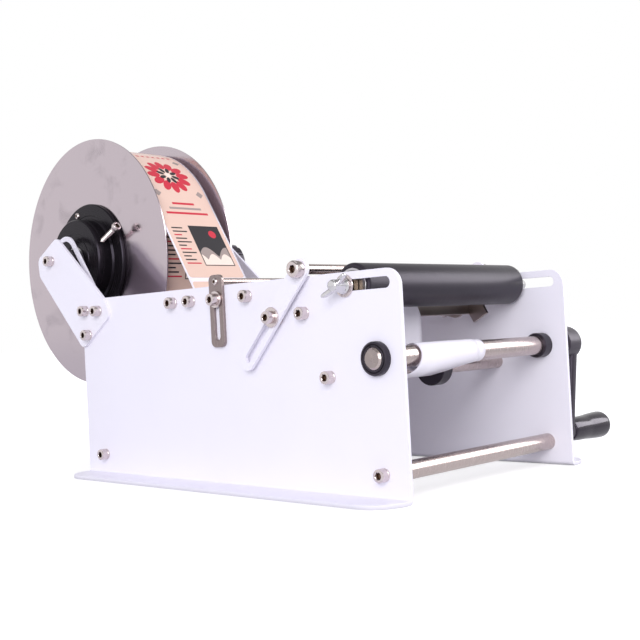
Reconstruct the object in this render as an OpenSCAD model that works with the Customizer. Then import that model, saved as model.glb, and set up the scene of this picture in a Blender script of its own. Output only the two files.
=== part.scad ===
// Hand-cranked bottle labeling machine: two bent side plates joined by cross rods,
// a label reel on rear arms, a peel plate, a take-up shaft with a crank and an adjustable roller.
// X runs across the machine towards the crank, Y from the front to the reel, Z up from the table.

/* [Side plates] */
// Length of each side plate, front to rear
plate_len = 398; // [380:1:430]
// Height of each side plate above the table
plate_h = 167; // [160:1:185]
// Sheet thickness of the side plates
plate_t = 3; // [2:0.5:4]
// Clear width between the two side plates
inner_w = 212; // [205:1:240]
// Width of the foot flange outside its plate
flange_w = 30; // [20:1:45]
// Radius of the plates' upper corners
corner_r = 13; // [6:1:20]
// Radius of the foot flange's corners
flange_corner_r = 26; // [3:1:27]
// Outside radius of the bend above the foot flange
bend_r = 4.5; // [4.5:0.5:7]

/* [Cross rods] */
// Diameter of the two low tie rods
tie_d = 14; // [10:1:18]
// Distance of the front tie rod behind the front edge
tie_front_y = 23; // [18:1:40]
// Distance of the rear tie rod in front of the rear edge
tie_rear_in = 29; // [20:1:60]
// Height of the low tie rods
tie_z = 20; // [16:1:35]
// Diameter of the upper rods
rod_d = 12; // [10:0.5:14]
// Distance of the paper guide rod behind the front edge
guide_y = 71; // [68:1:78]
// Height of the paper guide rod
guide_z = 90; // [84:1:96]
// Distance of the front feed rod behind the front edge
feed_y = 230.5; // [220:0.5:240]
// Spacing of the two feed rods
feed_pitch = 25; // [20:1:30]
// Depth of the feed rods and the rear table rod below the top edge
feed_drop = 11; // [10:0.5:14]
// Distance of the rear table rod behind the front edge
table_rear_y = 158.5; // [155:0.5:165]
// Distance of the front table rod behind the front edge
table_front_y = 95; // [93:0.5:100]
// Depth of the front table rod below the top edge
table_front_drop = 28; // [27:0.5:32]

/* [Fasteners] */
// Diameter of the frame screws
screw_d = 6; // [4:1:6]
// Length of the frame screws under the head
screw_len = 16; // [12:1:25]
// Diameter of the bolts that hold the rest rod
rest_bolt_d = 6; // [4:1:6]
// Thickness of the flat washers
washer_t = 1.5; // [1:0.1:2]
// Thickness of the lock washers under the screw heads
lock_washer_t = 1.6; // [1:0.1:2]

/* [Front roller] */
// Diameter of the rubber roller
roller_d = 34; // [28:1:35]
// Gap between a side plate and the roller's end
roller_end_gap = 5; // [3.5:0.5:12]
// Outside diameter of the roller's inner tube
roller_tube_d = 27; // [25:0.5:27]
// Diameter of the threaded roller axle
axle_d = 8; // [6:1:8]
// Distance of the roller axle behind the front edge
roller_y = 52; // [45:1:54]
// Depth of the roller slot below the top edge
slot_drop = 10; // [9:0.5:12]
// Distance of the slot's front end behind the front edge
slot_front = 9; // [6:0.5:14]
// Length of the roller slot
slot_len = 53; // [50:1:54]
// Reach of a wing from the wing nut's axis
wing_reach = 17; // [12:1:19]

/* [Take-up shaft and crank] */
// Diameter of the take-up shaft
shaft_d = 16; // [12:1:18]
// Distance of the take-up shaft behind the front edge
shaft_y = 24; // [22:1:28]
// Height of the take-up shaft
shaft_z = 103; // [100:1:108]
// Outside diameter of the shaft bushes' sleeves
bush_d = 21; // [20.5:0.5:24]
// Diameter of the shaft bushes' outer flanges
bush_flange_d = 25; // [25:0.5:30]
// Thickness of the shaft bushes' outer flanges
bush_flange_t = 5; // [3:0.5:8]
// Reach of the shaft bushes inside the plates
bush_reach = 10; // [5:1:15]
// Radius from the shaft to the crank grip
crank_r = 77; // [60:1:80]
// Diameter of the crank hub
crank_hub_d = 30; // [24:1:32]
// Length of the crank hub
crank_hub_len = 28; // [24:1:34]
// Gap between the right bush and the crank hub
crank_gap = 14; // [12:1:25]
// Inward lean of the crank arm's lower end
crank_dish = 7; // [0:0.5:9]
// Thickness of the crank arm
crank_arm_t = 11; // [8:0.5:12]
// Largest diameter of the crank grip
grip_d = 24; // [20:1:28]
// Length of the crank grip
grip_len = 59; // [45:1:75]
// Diameter of the wound backing paper at its slack left end
wound_d = 26; // [22:1:30]
// Diameter of the wound backing paper at its tight right end
wound_tight_d = 20; // [19:0.5:26]

/* [Reel] */
// Distance of the reel axis behind the plates' rear edge
reel_back = 46; // [42:1:50]
// Height of the reel axis above the plates' top edge
reel_rise = 41.5; // [38:0.5:46]
// Diameter of the reel discs
disc_d = 250; // [240:1:270]
// Thickness of the reel discs
disc_t = 1.2; // [1:0.1:2]
// Clear width between the reel discs
disc_gap = 78.8; // [76:0.2:84]
// Offset of the left disc's inner face from the middle of the machine
disc_left_x = -63.3; // [-66:0.1:-60]
// Diameter of the label roll
roll_d = 230; // [180:1:236]
// Width of the label web
label_w = 71.5; // [60:0.5:74]
// Inside diameter of the label core
core_d = 76.2; // [70:0.1:80]
// Wall of the label core
core_wall = 3; // [2:0.5:5]
// Diameter of the hubs' flanges
hub_flange_d = 118; // [100:1:130]
// Thickness of the hubs' flanges
hub_flange_t = 4; // [3:0.5:6]
// Diameter of the hubs' bodies
hub_d = 85; // [80:1:90]
// Length of the hubs' bodies outside their flanges
hub_len = 16.5; // [14:0.5:17]
// Diameter of the reel mandrel
mandrel_d = 30; // [28:1:34]
// Diameter of the fixed reel axle
reel_axle_d = 12; // [10:0.5:14]
// Thread diameter of the lock screw
lock_d = 5; // [4:1:6]
// Length of the lock screw under its head
lock_len = 51; // [38:1:56]
// Angle of the lock screw around the reel axis
lock_angle = 155; // [140:1:170]
// Diameter of the axle's hand knob
knob_d = 44; // [36:1:50]
// Sheet thickness of the reel arms
arm_t = 3; // [2:0.5:4]
// Inward lean of the brake leaf
leaf_lean = 7; // [4:0.5:7.5]
// Width of the brake leaf's hoop
leaf_band = 5; // [4:0.5:6]
// Space between the hoop and the axle's collar
leaf_gap = 8; // [6:0.5:9]

/* [Bottle rest] */
// Distance of the rest clamps behind the front edge
rest_clamp_y = 125; // [122:0.5:128]
// Depth of the rest clamps below the top edge
rest_clamp_drop = 29.5; // [29:0.5:31]
// Distance from the clamp to the rest rod
rest_reach = 48; // [47:0.5:52]
// Tilt of the rest arms from level
rest_tilt = 46.5; // [45:0.5:52]
// Length of the slot in a rest arm
rest_slot_len = 50; // [30:1:55]
// Width of a rest arm
rest_arm_w = 16; // [14:0.5:18]
// Diameter of the rest rod
rest_rod_d = 8; // [7:0.5:10]
// Thickness of the spacers behind the rest arms
rest_spacer_t = 3.5; // [2:0.5:5]

/* [Hold-down] */
// Distance of the hold-down links behind the front edge
link_y = 195.5; // [190:0.5:200]
// Depth of the link clamps below the top edge
link_clamp_drop = 11.5; // [10:0.5:16]
// Height of the links' tops above the top edge
link_rise = 9; // [8:0.5:14]
// Length of the links
link_len = 60; // [55:1:70]
// Width of the links
link_w = 17; // [15:0.5:20]
// Thickness of the links
link_t = 2.5; // [2:0.5:4]
// Diameter of the hold-down rod
hold_rod_d = 6; // [5:0.5:8]

/* [Peel plate and web] */
// Distance of the peel nose behind the front edge
nose_y = 88; // [86:0.5:91]
// Depth of the peel nose's centre below the top edge
nose_drop = 15; // [14:0.5:17]
// Sheet thickness of the peel plate
peel_t = 1.5; // [1:0.1:2]
// Length of the peel plate's lip below the nose
lip_len = 21; // [16:0.5:22]
// Angle of the lip from level
lip_tilt = 68; // [64:1:75]
// Clear width between the peel plate's cheeks
cheek_gap = 160; // [120:1:164]
// Thickness of the cheeks
cheek_t = 3; // [2:0.5:4]
// Thickness of the label web
web_t = 0.5; // [0.4:0.1:0.8]
// Thickness of the backing strip
strip_t = 0.4; // [0.3:0.1:0.6]
// Distance of the web's slack turn behind the rear feed rod
sag_run = 5.7; // [2:0.1:12]
// Radius of the web's slack turn below the feed rods
sag_r = 20; // [16:1:22]
// Diameter of the paper guide collars
collar_d = 30; // [24:1:32]
// Width of the paper guide collars
collar_w = 12; // [8:1:14]

/* [Hidden] */
$fn = 64;
run_gap = 0.05;
slip_gap = 0.1;
web_gap = 0.3;
side_gap = 0.8;
face_gap = 0.3;
eps = 0.01;
socket_depth_share = 0.5;

// Faces of the side plates on the right half of the machine
in_x = inner_w / 2;
out_x = in_x + plate_t;
foot_x = out_x + flange_w;

// Cross rods, as points across the plates
feed_z = plate_h - feed_drop;
tie_front = [tie_front_y, tie_z];
tie_rear = [plate_len - tie_rear_in, tie_z];
guide = [guide_y, guide_z];
feed_front = [feed_y, feed_z];
feed_rear = [feed_y + feed_pitch, feed_z];
table_rear = [table_rear_y, feed_z];
table_front = [table_front_y, plate_h - table_front_drop];
rods = [tie_front, tie_rear, guide, feed_front, feed_rear, table_rear, table_front];

// Screw, nut and washer proportions
screw_hole_r = screw_d / 2 + 0.2;
tap_r = screw_d / 2 + run_gap;
nut_t = 0.8 * screw_d;
washer_d = 2 * screw_d + 4;
function head_d(d) = 1.5 * d + 1;
function socket_d(d) = (0.5 * d + 2) / cos(30);
function nut_d(d) = (1.5 * d + 1) / cos(30);

// Roller on its slotted axle
slot_z = plate_h - slot_drop;
slot_w = axle_d + 0.4;
roller_at = [roller_y, slot_z];
bearing_d = roller_tube_d - 5;
bearing_w = 7;
lock_nut_t = roller_end_gap - side_gap;
lock_nut_x = in_x - slip_gap - lock_nut_t;
roller_half = in_x - roller_end_gap;
wing_x = out_x + 2 * slip_gap + washer_t;
wing_hub_h = 8;
wing_hub_d = axle_d + 5;
wing_h = 15;
wing_t = 3;
wing_tilt = 16;
axle_half = wing_x + wing_hub_h + 4;
axle_washer_d = 2 * axle_d + 1;

// Take-up shaft, crank and grip
shaft_at = [shaft_y, shaft_z];
bush_face_x = out_x + bush_flange_t;
shaft_left_x = -(bush_face_x + 1.5);
crank_x = bush_face_x + crank_gap;
crank_end_x = crank_x + crank_hub_len;
crank_cap_t = 9;
crank_arm_x = crank_end_x - crank_cap_t - crank_arm_t;
crank_foot_x = crank_arm_x - crank_dish;
crank_foot_d = 18;
crank_at = [shaft_y, shaft_z - crank_r];
spindle_d = 8;
crank_face_x = crank_foot_x + crank_arm_t;
grip_x = crank_face_x + face_gap;
grip_end_x = grip_x + grip_len;
spindle_len = grip_len - 8;
shaft_end_x = crank_end_x - 6;
crank_screw_x = crank_x + 6;
crank_screw_z = shaft_z + shaft_d / 2 + face_gap;

// Label lane and reel
lane_left_x = disc_left_x + side_gap;
lane_right_x = lane_left_x + label_w;
disc_right_x = disc_left_x + disc_gap;
reel_at = [plate_len + reel_back, plate_h + reel_rise];
hub_face_x = disc_left_x - disc_t - hub_flange_t;
hub_end_x = hub_face_x - hub_len;
spigot_d = core_d - 0.6;
spigot_len = 11;
mandrel_left_x = hub_end_x + 0.5;
mandrel_right_x = disc_right_x + disc_t + hub_flange_t + hub_len + 4;
reel_bearing_d = mandrel_d - 8;
reel_bearing_w = 8;
axle_collar_d = mandrel_d - 6;
axle_collar_w = 8;
stud_d = 8;
stud_len = arm_t + 14;
knob_x = out_x + arm_t + slip_gap;
knob_t = 16;
lock_x = hub_face_x - hub_len / 2;
lock_start_r = mandrel_d / 2 + face_gap;
hub_screw_d = 4;
hub_screw_r = (hub_d + hub_flange_d) / 4 + 1;
hub_screw_points = [for (a = [71, 251]) reel_at + polar(hub_screw_r, a)];

// Reel arms, laid out from the plate's rear top corner and the reel axis
arm_corner_r = 8;
arm_holes = [[plate_len - 11, plate_h - 11], [plate_len - 32, plate_h - 12],
    [plate_len - 14, plate_h - 34]];
arm_corners = [reel_at + [-9, 13], reel_at + [17, -1], reel_at + [16, -10],
    [plate_len - 4, plate_h - 37], [plate_len - 39, plate_h - 14], [plate_len - 33, plate_h - 5]];
leaf_t = 2;
leaf_r = axle_collar_d / 2 + leaf_gap + leaf_band;
leaf_corners = [[plate_len - 5, plate_h - 36], [plate_len - 27, plate_h - 9]];
leaf_tilt = 46.5;
leaf_bend = arm_holes[0] + 9 * [cos(leaf_tilt), sin(leaf_tilt)];

// Bottle rest
rest_clamp = [rest_clamp_y, plate_h - rest_clamp_drop];
rest_dir = [-cos(rest_tilt), sin(rest_tilt)];
rest_at = rest_clamp + rest_reach * rest_dir;
rest_arm_t = 3;
rest_in_x = out_x + slip_gap + rest_spacer_t;
rest_out_x = rest_in_x + rest_arm_t;
rest_slot_w = screw_d + 0.5;
rest_washer_x = rest_out_x + slip_gap;
rest_head_x = rest_washer_x + washer_t;
rest_stud_d = rest_rod_d / 2;

// Hold-down
link_in_x = out_x + slip_gap;
link_out_x = link_in_x + link_t;
link_washer_x = link_out_x + slip_gap;
link_head_x = link_washer_x + washer_t;
link_clamp = [link_y, plate_h - link_clamp_drop];
link_top_z = plate_h + link_rise;
link_low_z = link_top_z - link_len;
link_slot_w = screw_d + 0.5;
link_slot_low = link_low_z + 9;
link_slot_high = link_clamp[1] + 1;
hold_screw_d = 4;
hold_at = [link_y, plate_h + web_gap + hold_rod_d / 2];

// Peel plate and the web's path over the rods, as points across the plates
nose_r = peel_t + 1;
nose = [nose_y, plate_h - nose_drop];
cheek_in_x = cheek_gap / 2;
rod_path_r = rod_d / 2 + web_gap + web_t / 2;
nose_path_r = nose_r + web_gap + web_t / 2;
nose_gap = nose - table_rear;
table_heading = atan2(nose_gap[1], nose_gap[0]) + 360
    + asin((rod_path_r - nose_path_r) / norm(nose_gap));
table_normal = table_heading - 90;
lip_heading = 180 + lip_tilt;
lip_normal = lip_heading - 90;
table_len = table_rear_y - nose_y - rod_d / 2 - 3;

function polar(r, a) = r * [cos(a), sin(a)];
function arc(c, r, a0, a1, n) = [for (i = [0:n]) c + polar(r, a0 + (a1 - a0) * i / n)];
function along(p, i) = p[min(i + 1, len(p) - 1)] - p[max(i - 1, 0)];
function side_of(p, i) = let (d = along(p, i)) [-d[1], d[0]] / norm(d);
function ribbon(p, t) = concat(
    [for (i = [0:len(p) - 1]) p[i] + side_of(p, i) * t / 2],
    [for (i = [len(p) - 1:-1:0]) p[i] - side_of(p, i) * t / 2]);

// Sheet of the peel plate: table, nose and lip
peel_path_r = nose_r - peel_t / 2;
peel_path = concat(
    [nose + polar(peel_path_r, table_normal) - polar(table_len, table_heading)],
    arc(nose, peel_path_r, table_normal, lip_normal, 8),
    [nose + polar(peel_path_r, lip_normal) + polar(lip_len, lip_heading)]);

// Label web: off the roll, round a slack turn, under and over the feed rods, over the table rod
roll_path_r = roll_d / 2 + web_gap + web_t / 2;
sag_at = feed_rear + [sag_run, sag_r - rod_path_r];
sag_span = sag_at - reel_at;
roll_normal = atan2(sag_span[1], sag_span[0]) + 360 - acos((roll_path_r + sag_r) / norm(sag_span));
weave = asin(2 * rod_path_r / feed_pitch);
web_path = concat(
    arc(reel_at, roll_path_r, roll_normal - 24, roll_normal, 8),
    arc(sag_at, sag_r, 180 + roll_normal, 270, 10),
    arc(feed_rear, rod_path_r, 270, 270 - weave, 6),
    arc(feed_front, rod_path_r, 90 - weave, 90, 6),
    arc(table_rear, rod_path_r, 90, table_normal, 4),
    [nose + polar(nose_path_r, table_normal) - polar(web_gap, table_heading)]);

// Backing strip: round the nose, down the lip, behind and under the guide rod, up to the shaft
strip_nose_r = nose_r + web_gap + strip_t / 2;
strip_rod_r = rod_d / 2 + web_gap + strip_t / 2;
strip_wound_r = wound_d / 2 + web_gap + strip_t / 2;
lip_end = nose + polar(strip_nose_r, lip_normal) + polar(lip_len, lip_heading);
drop = guide - lip_end;
drop_heading = atan2(drop[1], drop[0]) + 360 + asin(strip_rod_r / norm(drop));
rise = shaft_at - guide;
rise_heading = atan2(rise[1], rise[0]) + 90 - acos((strip_wound_r - strip_rod_r) / norm(rise));
strip_path = concat(
    arc(nose, strip_nose_r, table_normal, lip_normal, 8),
    [lip_end],
    arc(guide, strip_rod_r, drop_heading + 90, rise_heading + 90, 10),
    arc(shaft_at, strip_wound_r, rise_heading + 90, rise_heading + 40, 6));

// The origin lies under the middle of the machine's box
origin = [(grip_end_x - foot_x) / 2, (reel_at[0] + disc_d / 2) / 2, 0];

module place() {
    translate(-origin) children();
}

module on_side(side) {
    if (side < 0) mirror([1, 0, 0]) children();
    else children();
}

// A cylinder along X from x0 to x1 through the point p of the side view
module bar(p, x0, x1, d) {
    translate([x0, p[0], p[1]]) rotate([0, 90, 0]) cylinder(h = x1 - x0, d = d);
}

// A side view drawing as a sheet from x0, t thick
module sheet(x0, t) {
    translate([x0, 0, 0]) rotate([90, 0, 90]) linear_extrude(t) children();
}

// A turned piece about the point p, with its profile as [radius, x] points
module turned(p, profile) {
    translate([0, p[0], p[1]]) rotate([0, 90, 0]) rotate_extrude() polygon(profile);
}

module ring(p, x0, x1, d, bore) {
    difference() {
        bar(p, x0, x1, d);
        bar(p, x0 - eps, x1 + eps, bore);
    }
}

// Socket screw on the right: the head stands on face_x and the shank points to -X
module socket_screw(p, face_x, d, length) {
    head_h = d;
    translate([face_x, p[0], p[1]]) rotate([0, 90, 0]) difference() {
        union() {
            cylinder(h = head_h, d = head_d(d));
            translate([0, 0, -length]) cylinder(h = length + eps, d = d);
        }
        translate([0, 0, head_h * (1 - socket_depth_share)]) cylinder(h = head_h, d = socket_d(d), $fn = 6);
    }
}

// Split lock washer of the head's width, from x0
module lock_washer(p, x0) {
    split = 0.8;
    difference() {
        ring(p, x0, x0 + lock_washer_t, head_d(screw_d) - slip_gap, screw_d + 2 * slip_gap);
        translate([x0 - eps, p[0] - split / 2, p[1]])
            cube([lock_washer_t + 2 * eps, split, head_d(screw_d)]);
    }
}

// Socket screw with a lock washer on face_x
module locked_screw(p, face_x, length) {
    lock_washer(p, face_x);
    socket_screw(p, face_x + lock_washer_t + run_gap, screw_d, length);
}

module hex_nut(p, x0, t, d) {
    difference() {
        translate([x0, p[0], p[1]]) rotate([0, 90, 0]) cylinder(h = t, d = nut_d(d), $fn = 6);
        bar(p, x0 - eps, x0 + t + eps, d + 2 * run_gap);
    }
}

// Slot drawing with round ends between two points of the side view
module slot(a, b, w) {
    run = b - a;
    translate(a) circle(d = w);
    translate(b) circle(d = w);
    translate(a) rotate(atan2(run[1], run[0])) translate([0, -w / 2]) square([norm(run), w]);
}

// Rectangle with its corners rounded at the radii for low and high corners
module rounded_box(size, low_r, high_r) {
    difference() {
        square(size);
        for (c = [[0, 0, low_r], [size[0], 0, low_r], [0, size[1], high_r], [size[0], size[1], high_r]])
            let (r = c[2], sx = c[0] > 0 ? -1 : 1, sy = c[1] > 0 ? -1 : 1)
            if (r > 0)
                translate([c[0], c[1]]) scale([sx, sy]) difference() {
                    translate([-1, -1]) square(r + 1);
                    translate([r, r]) circle(r);
                }
    }
}

module corner_hull(points, r) {
    hull() for (p = points) translate(p) circle(r, $fn = 32);
}

module side_plate(side) {
    bend_in = bend_r - plate_t;
    bend_c = out_x + bend_in;
    on_side(side) {
        difference() {
            sheet(in_x, plate_t) difference() {
                translate([0, bend_r]) rounded_box([plate_len, plate_h - bend_r], 0, corner_r);
                slot([slot_front + slot_w / 2, slot_z],
                    [slot_front + slot_len - slot_w / 2, slot_z], slot_w);
            }
            for (p = concat(rods, arm_holes, [rest_clamp, link_clamp]))
                bar(p, in_x - eps, out_x + eps, 2 * screw_hole_r);
            bar(shaft_at, in_x - eps, out_x + eps, bush_d + 2 * run_gap);
        }
        translate([bend_c, plate_len, bend_r]) rotate([90, 0, 0]) linear_extrude(plate_len)
            intersection() {
                difference() {
                    circle(bend_r);
                    circle(bend_in);
                }
                translate([-bend_r, -bend_r]) square(bend_r);
            }
        translate([bend_c, 0, 0]) linear_extrude(plate_t) intersection() {
            square([foot_x - bend_c, plate_len]);
            translate([-2 * flange_corner_r, 0])
                rounded_box([foot_x - bend_c + 2 * flange_corner_r, plate_len],
                    flange_corner_r, flange_corner_r);
        }
    }
}

module side_plate_left() {
    color("whitesmoke") side_plate(-1);
}

module side_plate_right() {
    color("whitesmoke") side_plate(1);
}

// Cross rod between the plates, tapped at both ends
module cross_rod(p, d) {
    color("silver") difference() {
        bar(p, -in_x, in_x, d);
        for (side = [-1, 1])
            on_side(side) bar(p, in_x - screw_len, in_x + eps, 2 * tap_r);
    }
}

module front_tie_rod() {
    cross_rod(tie_front, tie_d);
}

module rear_tie_rod() {
    cross_rod(tie_rear, tie_d);
}

module paper_guide_rod() {
    cross_rod(guide, rod_d);
}

module feed_rods() {
    for (p = [feed_front, feed_rear]) cross_rod(p, rod_d);
}

module table_rods() {
    for (p = [table_front, table_rear]) cross_rod(p, rod_d);
}

module frame_screws() {
    color("lightgray") for (side = [-1, 1], p = rods)
        on_side(side) locked_screw(p, out_x, screw_len);
}

// Nuts inside the plates, behind the reel arms' screws and the hold-down clamps, and the clamps' washers
module frame_nuts_washers() {
    color("lightgray") for (side = [-1, 1]) on_side(side) {
        for (p = arm_holes) hex_nut(p, in_x - nut_t - (side < 0 ? leaf_t : 0), nut_t, screw_d);
        hex_nut(link_clamp, in_x - nut_t, nut_t, screw_d);
        ring(link_clamp, link_washer_x, link_head_x, washer_d - 2, screw_d + 2 * run_gap);
    }
}

module shaft_bushes() {
    color("dimgray") for (side = [-1, 1]) on_side(side) difference() {
        union() {
            bar(shaft_at, in_x - bush_reach, out_x + eps, bush_d);
            bar(shaft_at, out_x, bush_face_x, bush_flange_d);
        }
        bar(shaft_at, 0, bush_face_x + eps, shaft_d + 2 * run_gap);
    }
}

module reel_arm(axle_hole) {
    difference() {
        sheet(out_x, arm_t) corner_hull(arm_corners, arm_corner_r);
        for (p = arm_holes) bar(p, out_x - eps, out_x + arm_t + eps, 2 * screw_hole_r);
        bar(reel_at, out_x - eps, out_x + arm_t + eps, axle_hole);
    }
}

module reel_arm_left() {
    color("whitesmoke") on_side(-1) reel_arm(2 * screw_hole_r);
}

module reel_arm_right() {
    color("whitesmoke") reel_arm(stud_d + 0.4);
}

module reel_arm_screws() {
    arm_screw_len = lock_washer_t + arm_t + plate_t + leaf_t + nut_t + 1;
    color("lightgray") for (side = [-1, 1], p = arm_holes)
        on_side(side) locked_screw(p, out_x + arm_t, arm_screw_len);
}

// Outline of the brake leaf: a hoop round the axle on a foot behind the arm's screws
module leaf_outline(inset) {
    hull() {
        translate(reel_at) circle(leaf_r - inset, $fn = 64);
        for (p = leaf_corners) translate(p) circle(arm_corner_r - inset, $fn = 32);
    }
}

// Leaf on the inside of the left plate, bent inwards above its screws
module reel_brake_leaf() {
    flat_len = 60;
    lean_len = 120;
    width = 120;
    tip = [in_x - lean_len * sin(leaf_lean), lean_len * cos(leaf_lean)];
    back = leaf_t * [cos(leaf_lean), sin(leaf_lean)];
    color("gainsboro") on_side(-1) difference() {
        intersection() {
            sheet(0, in_x) difference() {
                leaf_outline(0);
                intersection() {
                    leaf_outline(leaf_band);
                    translate(leaf_bend) rotate(leaf_tilt) translate([leaf_band, -width / 2]) square(width);
                }
            }
            translate([0, leaf_bend[0], leaf_bend[1]]) rotate([leaf_tilt, 0, 0])
                translate([0, 0, -width / 2]) linear_extrude(width)
                polygon([[in_x, -flat_len], [in_x, 0], tip, tip - back,
                    [in_x - leaf_t, -leaf_t * tan(leaf_lean / 2)], [in_x - leaf_t, -flat_len]]);
        }
        for (p = arm_holes) bar(p, in_x - leaf_t - eps, in_x + eps, 2 * screw_hole_r);
    }
}

// Fixed axle between the reel arms, with a stud for the hand knob
module reel_axle() {
    color("silver") difference() {
        union() {
            bar(reel_at, -out_x, out_x, reel_axle_d);
            bar(reel_at, out_x - eps, out_x + stud_len, stud_d);
        }
        bar(reel_at, -out_x - eps, screw_len - out_x, 2 * tap_r);
    }
}

module axle_screw() {
    color("lightgray") on_side(-1) locked_screw(reel_at, out_x + arm_t, screw_len);
}

// Set collars that keep the reel in place along its axle
module axle_collars() {
    color("dimgray") for (x = [mandrel_left_x - face_gap - axle_collar_w, mandrel_right_x + face_gap])
        ring(reel_at, x, x + axle_collar_w, axle_collar_d, reel_axle_d + 2 * run_gap);
}

module axle_knob() {
    grip_notches = 12;
    notch_d = 6;
    color("dimgray") difference() {
        turned(reel_at, [[0, knob_x], [knob_d / 2 - 1, knob_x], [knob_d / 2, knob_x + 1],
            [knob_d / 2, knob_x + knob_t - 3], [knob_d / 2 - 3, knob_x + knob_t], [0, knob_x + knob_t]]);
        bar(reel_at, knob_x - eps, out_x + stud_len + 0.5, stud_d + 2 * run_gap);
        for (i = [0:grip_notches - 1])
            bar(reel_at + polar(knob_d / 2 + 1, 360 * i / grip_notches),
                knob_x - eps, knob_x + knob_t + eps, notch_d);
    }
}

module peel_plate() {
    color("darkgray") sheet(-cheek_in_x, 2 * cheek_in_x) polygon(ribbon(peel_path, peel_t));
}

// Cheeks that carry the peel plate on the table rods, each with a finger in front of the lip
module peel_cheeks() {
    boss_r = rod_d / 2 + 2.5;
    finger_w = 16;
    finger_drop = 8;
    finger_tilt = 62;
    finger_side = finger_tilt + 90;
    low = lip_end - polar(2, finger_side) - polar(finger_drop, finger_tilt);
    tip = low + polar(finger_w, finger_side);
    color("darkgray") for (side = [-1, 1]) on_side(side) difference() {
        sheet(cheek_in_x, cheek_t) {
            hull() for (p = [table_front, table_rear]) translate(p) circle(boss_r, $fn = 32);
            hull() {
                translate(table_front) circle(boss_r, $fn = 32);
                translate(nose) circle(nose_r, $fn = 32);
            }
            hull() {
                translate(nose) circle(nose_r, $fn = 32);
                polygon([low, tip, tip + polar(finger_w * 3 / 4, finger_tilt)]);
            }
        }
        for (p = [table_front, table_rear])
            bar(p, cheek_in_x - eps, cheek_in_x + cheek_t + eps, rod_d + 2 * run_gap);
    }
}

module label_web() {
    color("bisque") sheet(lane_left_x, label_w) polygon(ribbon(web_path, web_t));
}

module backing_strip() {
    color("white") sheet(lane_left_x, label_w) polygon(ribbon(strip_path, strip_t));
}

module paper_collar(x0) {
    color("dimgray") ring(guide, x0, x0 + collar_w, collar_d, rod_d + 2 * run_gap);
}

module paper_collar_left() {
    paper_collar(lane_left_x - web_gap - collar_w);
}

module paper_collar_right() {
    paper_collar(lane_right_x + web_gap);
}

module takeup_shaft() {
    chamfer = 1;
    color("silver") turned(shaft_at, [[0, shaft_left_x], [shaft_d / 2 - chamfer, shaft_left_x],
        [shaft_d / 2, shaft_left_x + chamfer], [shaft_d / 2, shaft_end_x], [0, shaft_end_x]]);
}

// Thrust ring against the left bush, which keeps the shaft from sliding out
module shaft_collar() {
    collar_len = 3;
    x1 = -(in_x - bush_reach) + slip_gap;
    color("dimgray") ring(shaft_at, x1, x1 + collar_len, shaft_d + 8, shaft_d + 2 * run_gap);
}

// Spent backing paper on the shaft, slack on the left and tight on the right
module wound_backing() {
    run_out = 4;
    bore_r = shaft_d / 2 + run_gap;
    color("white") turned(shaft_at, [[bore_r, lane_left_x - run_out], [wound_d / 2, lane_left_x - run_out],
        [wound_tight_d / 2, lane_right_x + run_out], [bore_r, lane_right_x + run_out]]);
}

// Crank with a flat seat for the grip at its lower end
module crank_arm() {
    round_r = crank_hub_d / 2 - 2;
    color("dimgray") difference() {
        union() {
            turned(shaft_at, concat([[0, crank_x], [crank_hub_d / 2, crank_x]],
                [for (p = arc([crank_hub_d / 2 - round_r, crank_end_x - round_r], round_r, 0, 90, 6)) p],
                [[0, crank_end_x]]));
            hull() {
                bar(shaft_at, crank_arm_x, crank_arm_x + crank_arm_t, crank_hub_d - 3, $fn = 32);
                bar(crank_at, crank_foot_x, crank_face_x, crank_foot_d, $fn = 32);
            }
        }
        bar(shaft_at, crank_x - eps, shaft_end_x + 0.2, shaft_d + 2 * run_gap);
        bar(crank_at, crank_foot_x - eps, grip_x, spindle_d + 2 * run_gap);
        bar(crank_at, crank_face_x, crank_end_x, grip_d + 2);
        crank_screw_hole(screw_d + 2 * run_gap, crank_hub_d);
    }
}

module crank_screw_hole(d, length) {
    translate([crank_screw_x, shaft_y, crank_screw_z]) cylinder(h = length, d = d);
}

// Headless screw through the crank hub onto the shaft
module crank_set_screw() {
    length = (crank_hub_d - shaft_d) / 2 - 0.8;
    color("dimgray") difference() {
        crank_screw_hole(screw_d, length);
        translate([crank_screw_x, shaft_y, crank_screw_z + length / 2])
            cylinder(h = length, d = screw_d / 2 / cos(30), $fn = 6);
    }
}

module grip_spindle() {
    color("silver") bar(crank_at, crank_foot_x, grip_x + spindle_len, spindle_d);
}

// Grip with a slight swell and a rounded end
module crank_grip() {
    neck_r = grip_d / 2 - 2.5;
    swell = grip_d / 2 - neck_r;
    round_r = 5;
    steps = 10;
    color("dimgray") difference() {
        turned(crank_at, concat([[0, grip_x], [neck_r - 1, grip_x]],
            [for (i = [0:steps])
                [neck_r + swell * sin(90 * i / steps), grip_x + 1 + (grip_len - round_r - 1) * i / steps]],
            [for (p = arc([grip_d / 2 - round_r, grip_end_x - round_r], round_r, 10, 90, 6)) p],
            [[0, grip_end_x]]));
        bar(crank_at, grip_x - eps, grip_x + spindle_len + 0.5, spindle_d + 2 * run_gap);
    }
}

module roller_axle() {
    color("silver") bar(roller_at, -axle_half, axle_half, axle_d);
}

// Thin nuts inside the plates and washers outside them, on the roller's axle
module roller_lock_nuts() {
    color("lightgray") for (side = [-1, 1]) on_side(side) {
        hex_nut(roller_at, lock_nut_x, lock_nut_t, axle_d);
        ring(roller_at, out_x + slip_gap, out_x + slip_gap + washer_t, axle_washer_d, axle_d + 2 * run_gap);
    }
}

module roller_tube() {
    color("silver") difference() {
        bar(roller_at, -roller_half, roller_half, roller_tube_d);
        bar(roller_at, -roller_half - eps, roller_half + eps, bearing_d - 2);
        for (side = [-1, 1])
            on_side(side)
                bar(roller_at, roller_half - bearing_w, roller_half + eps, bearing_d + 2 * run_gap);
    }
}

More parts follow.
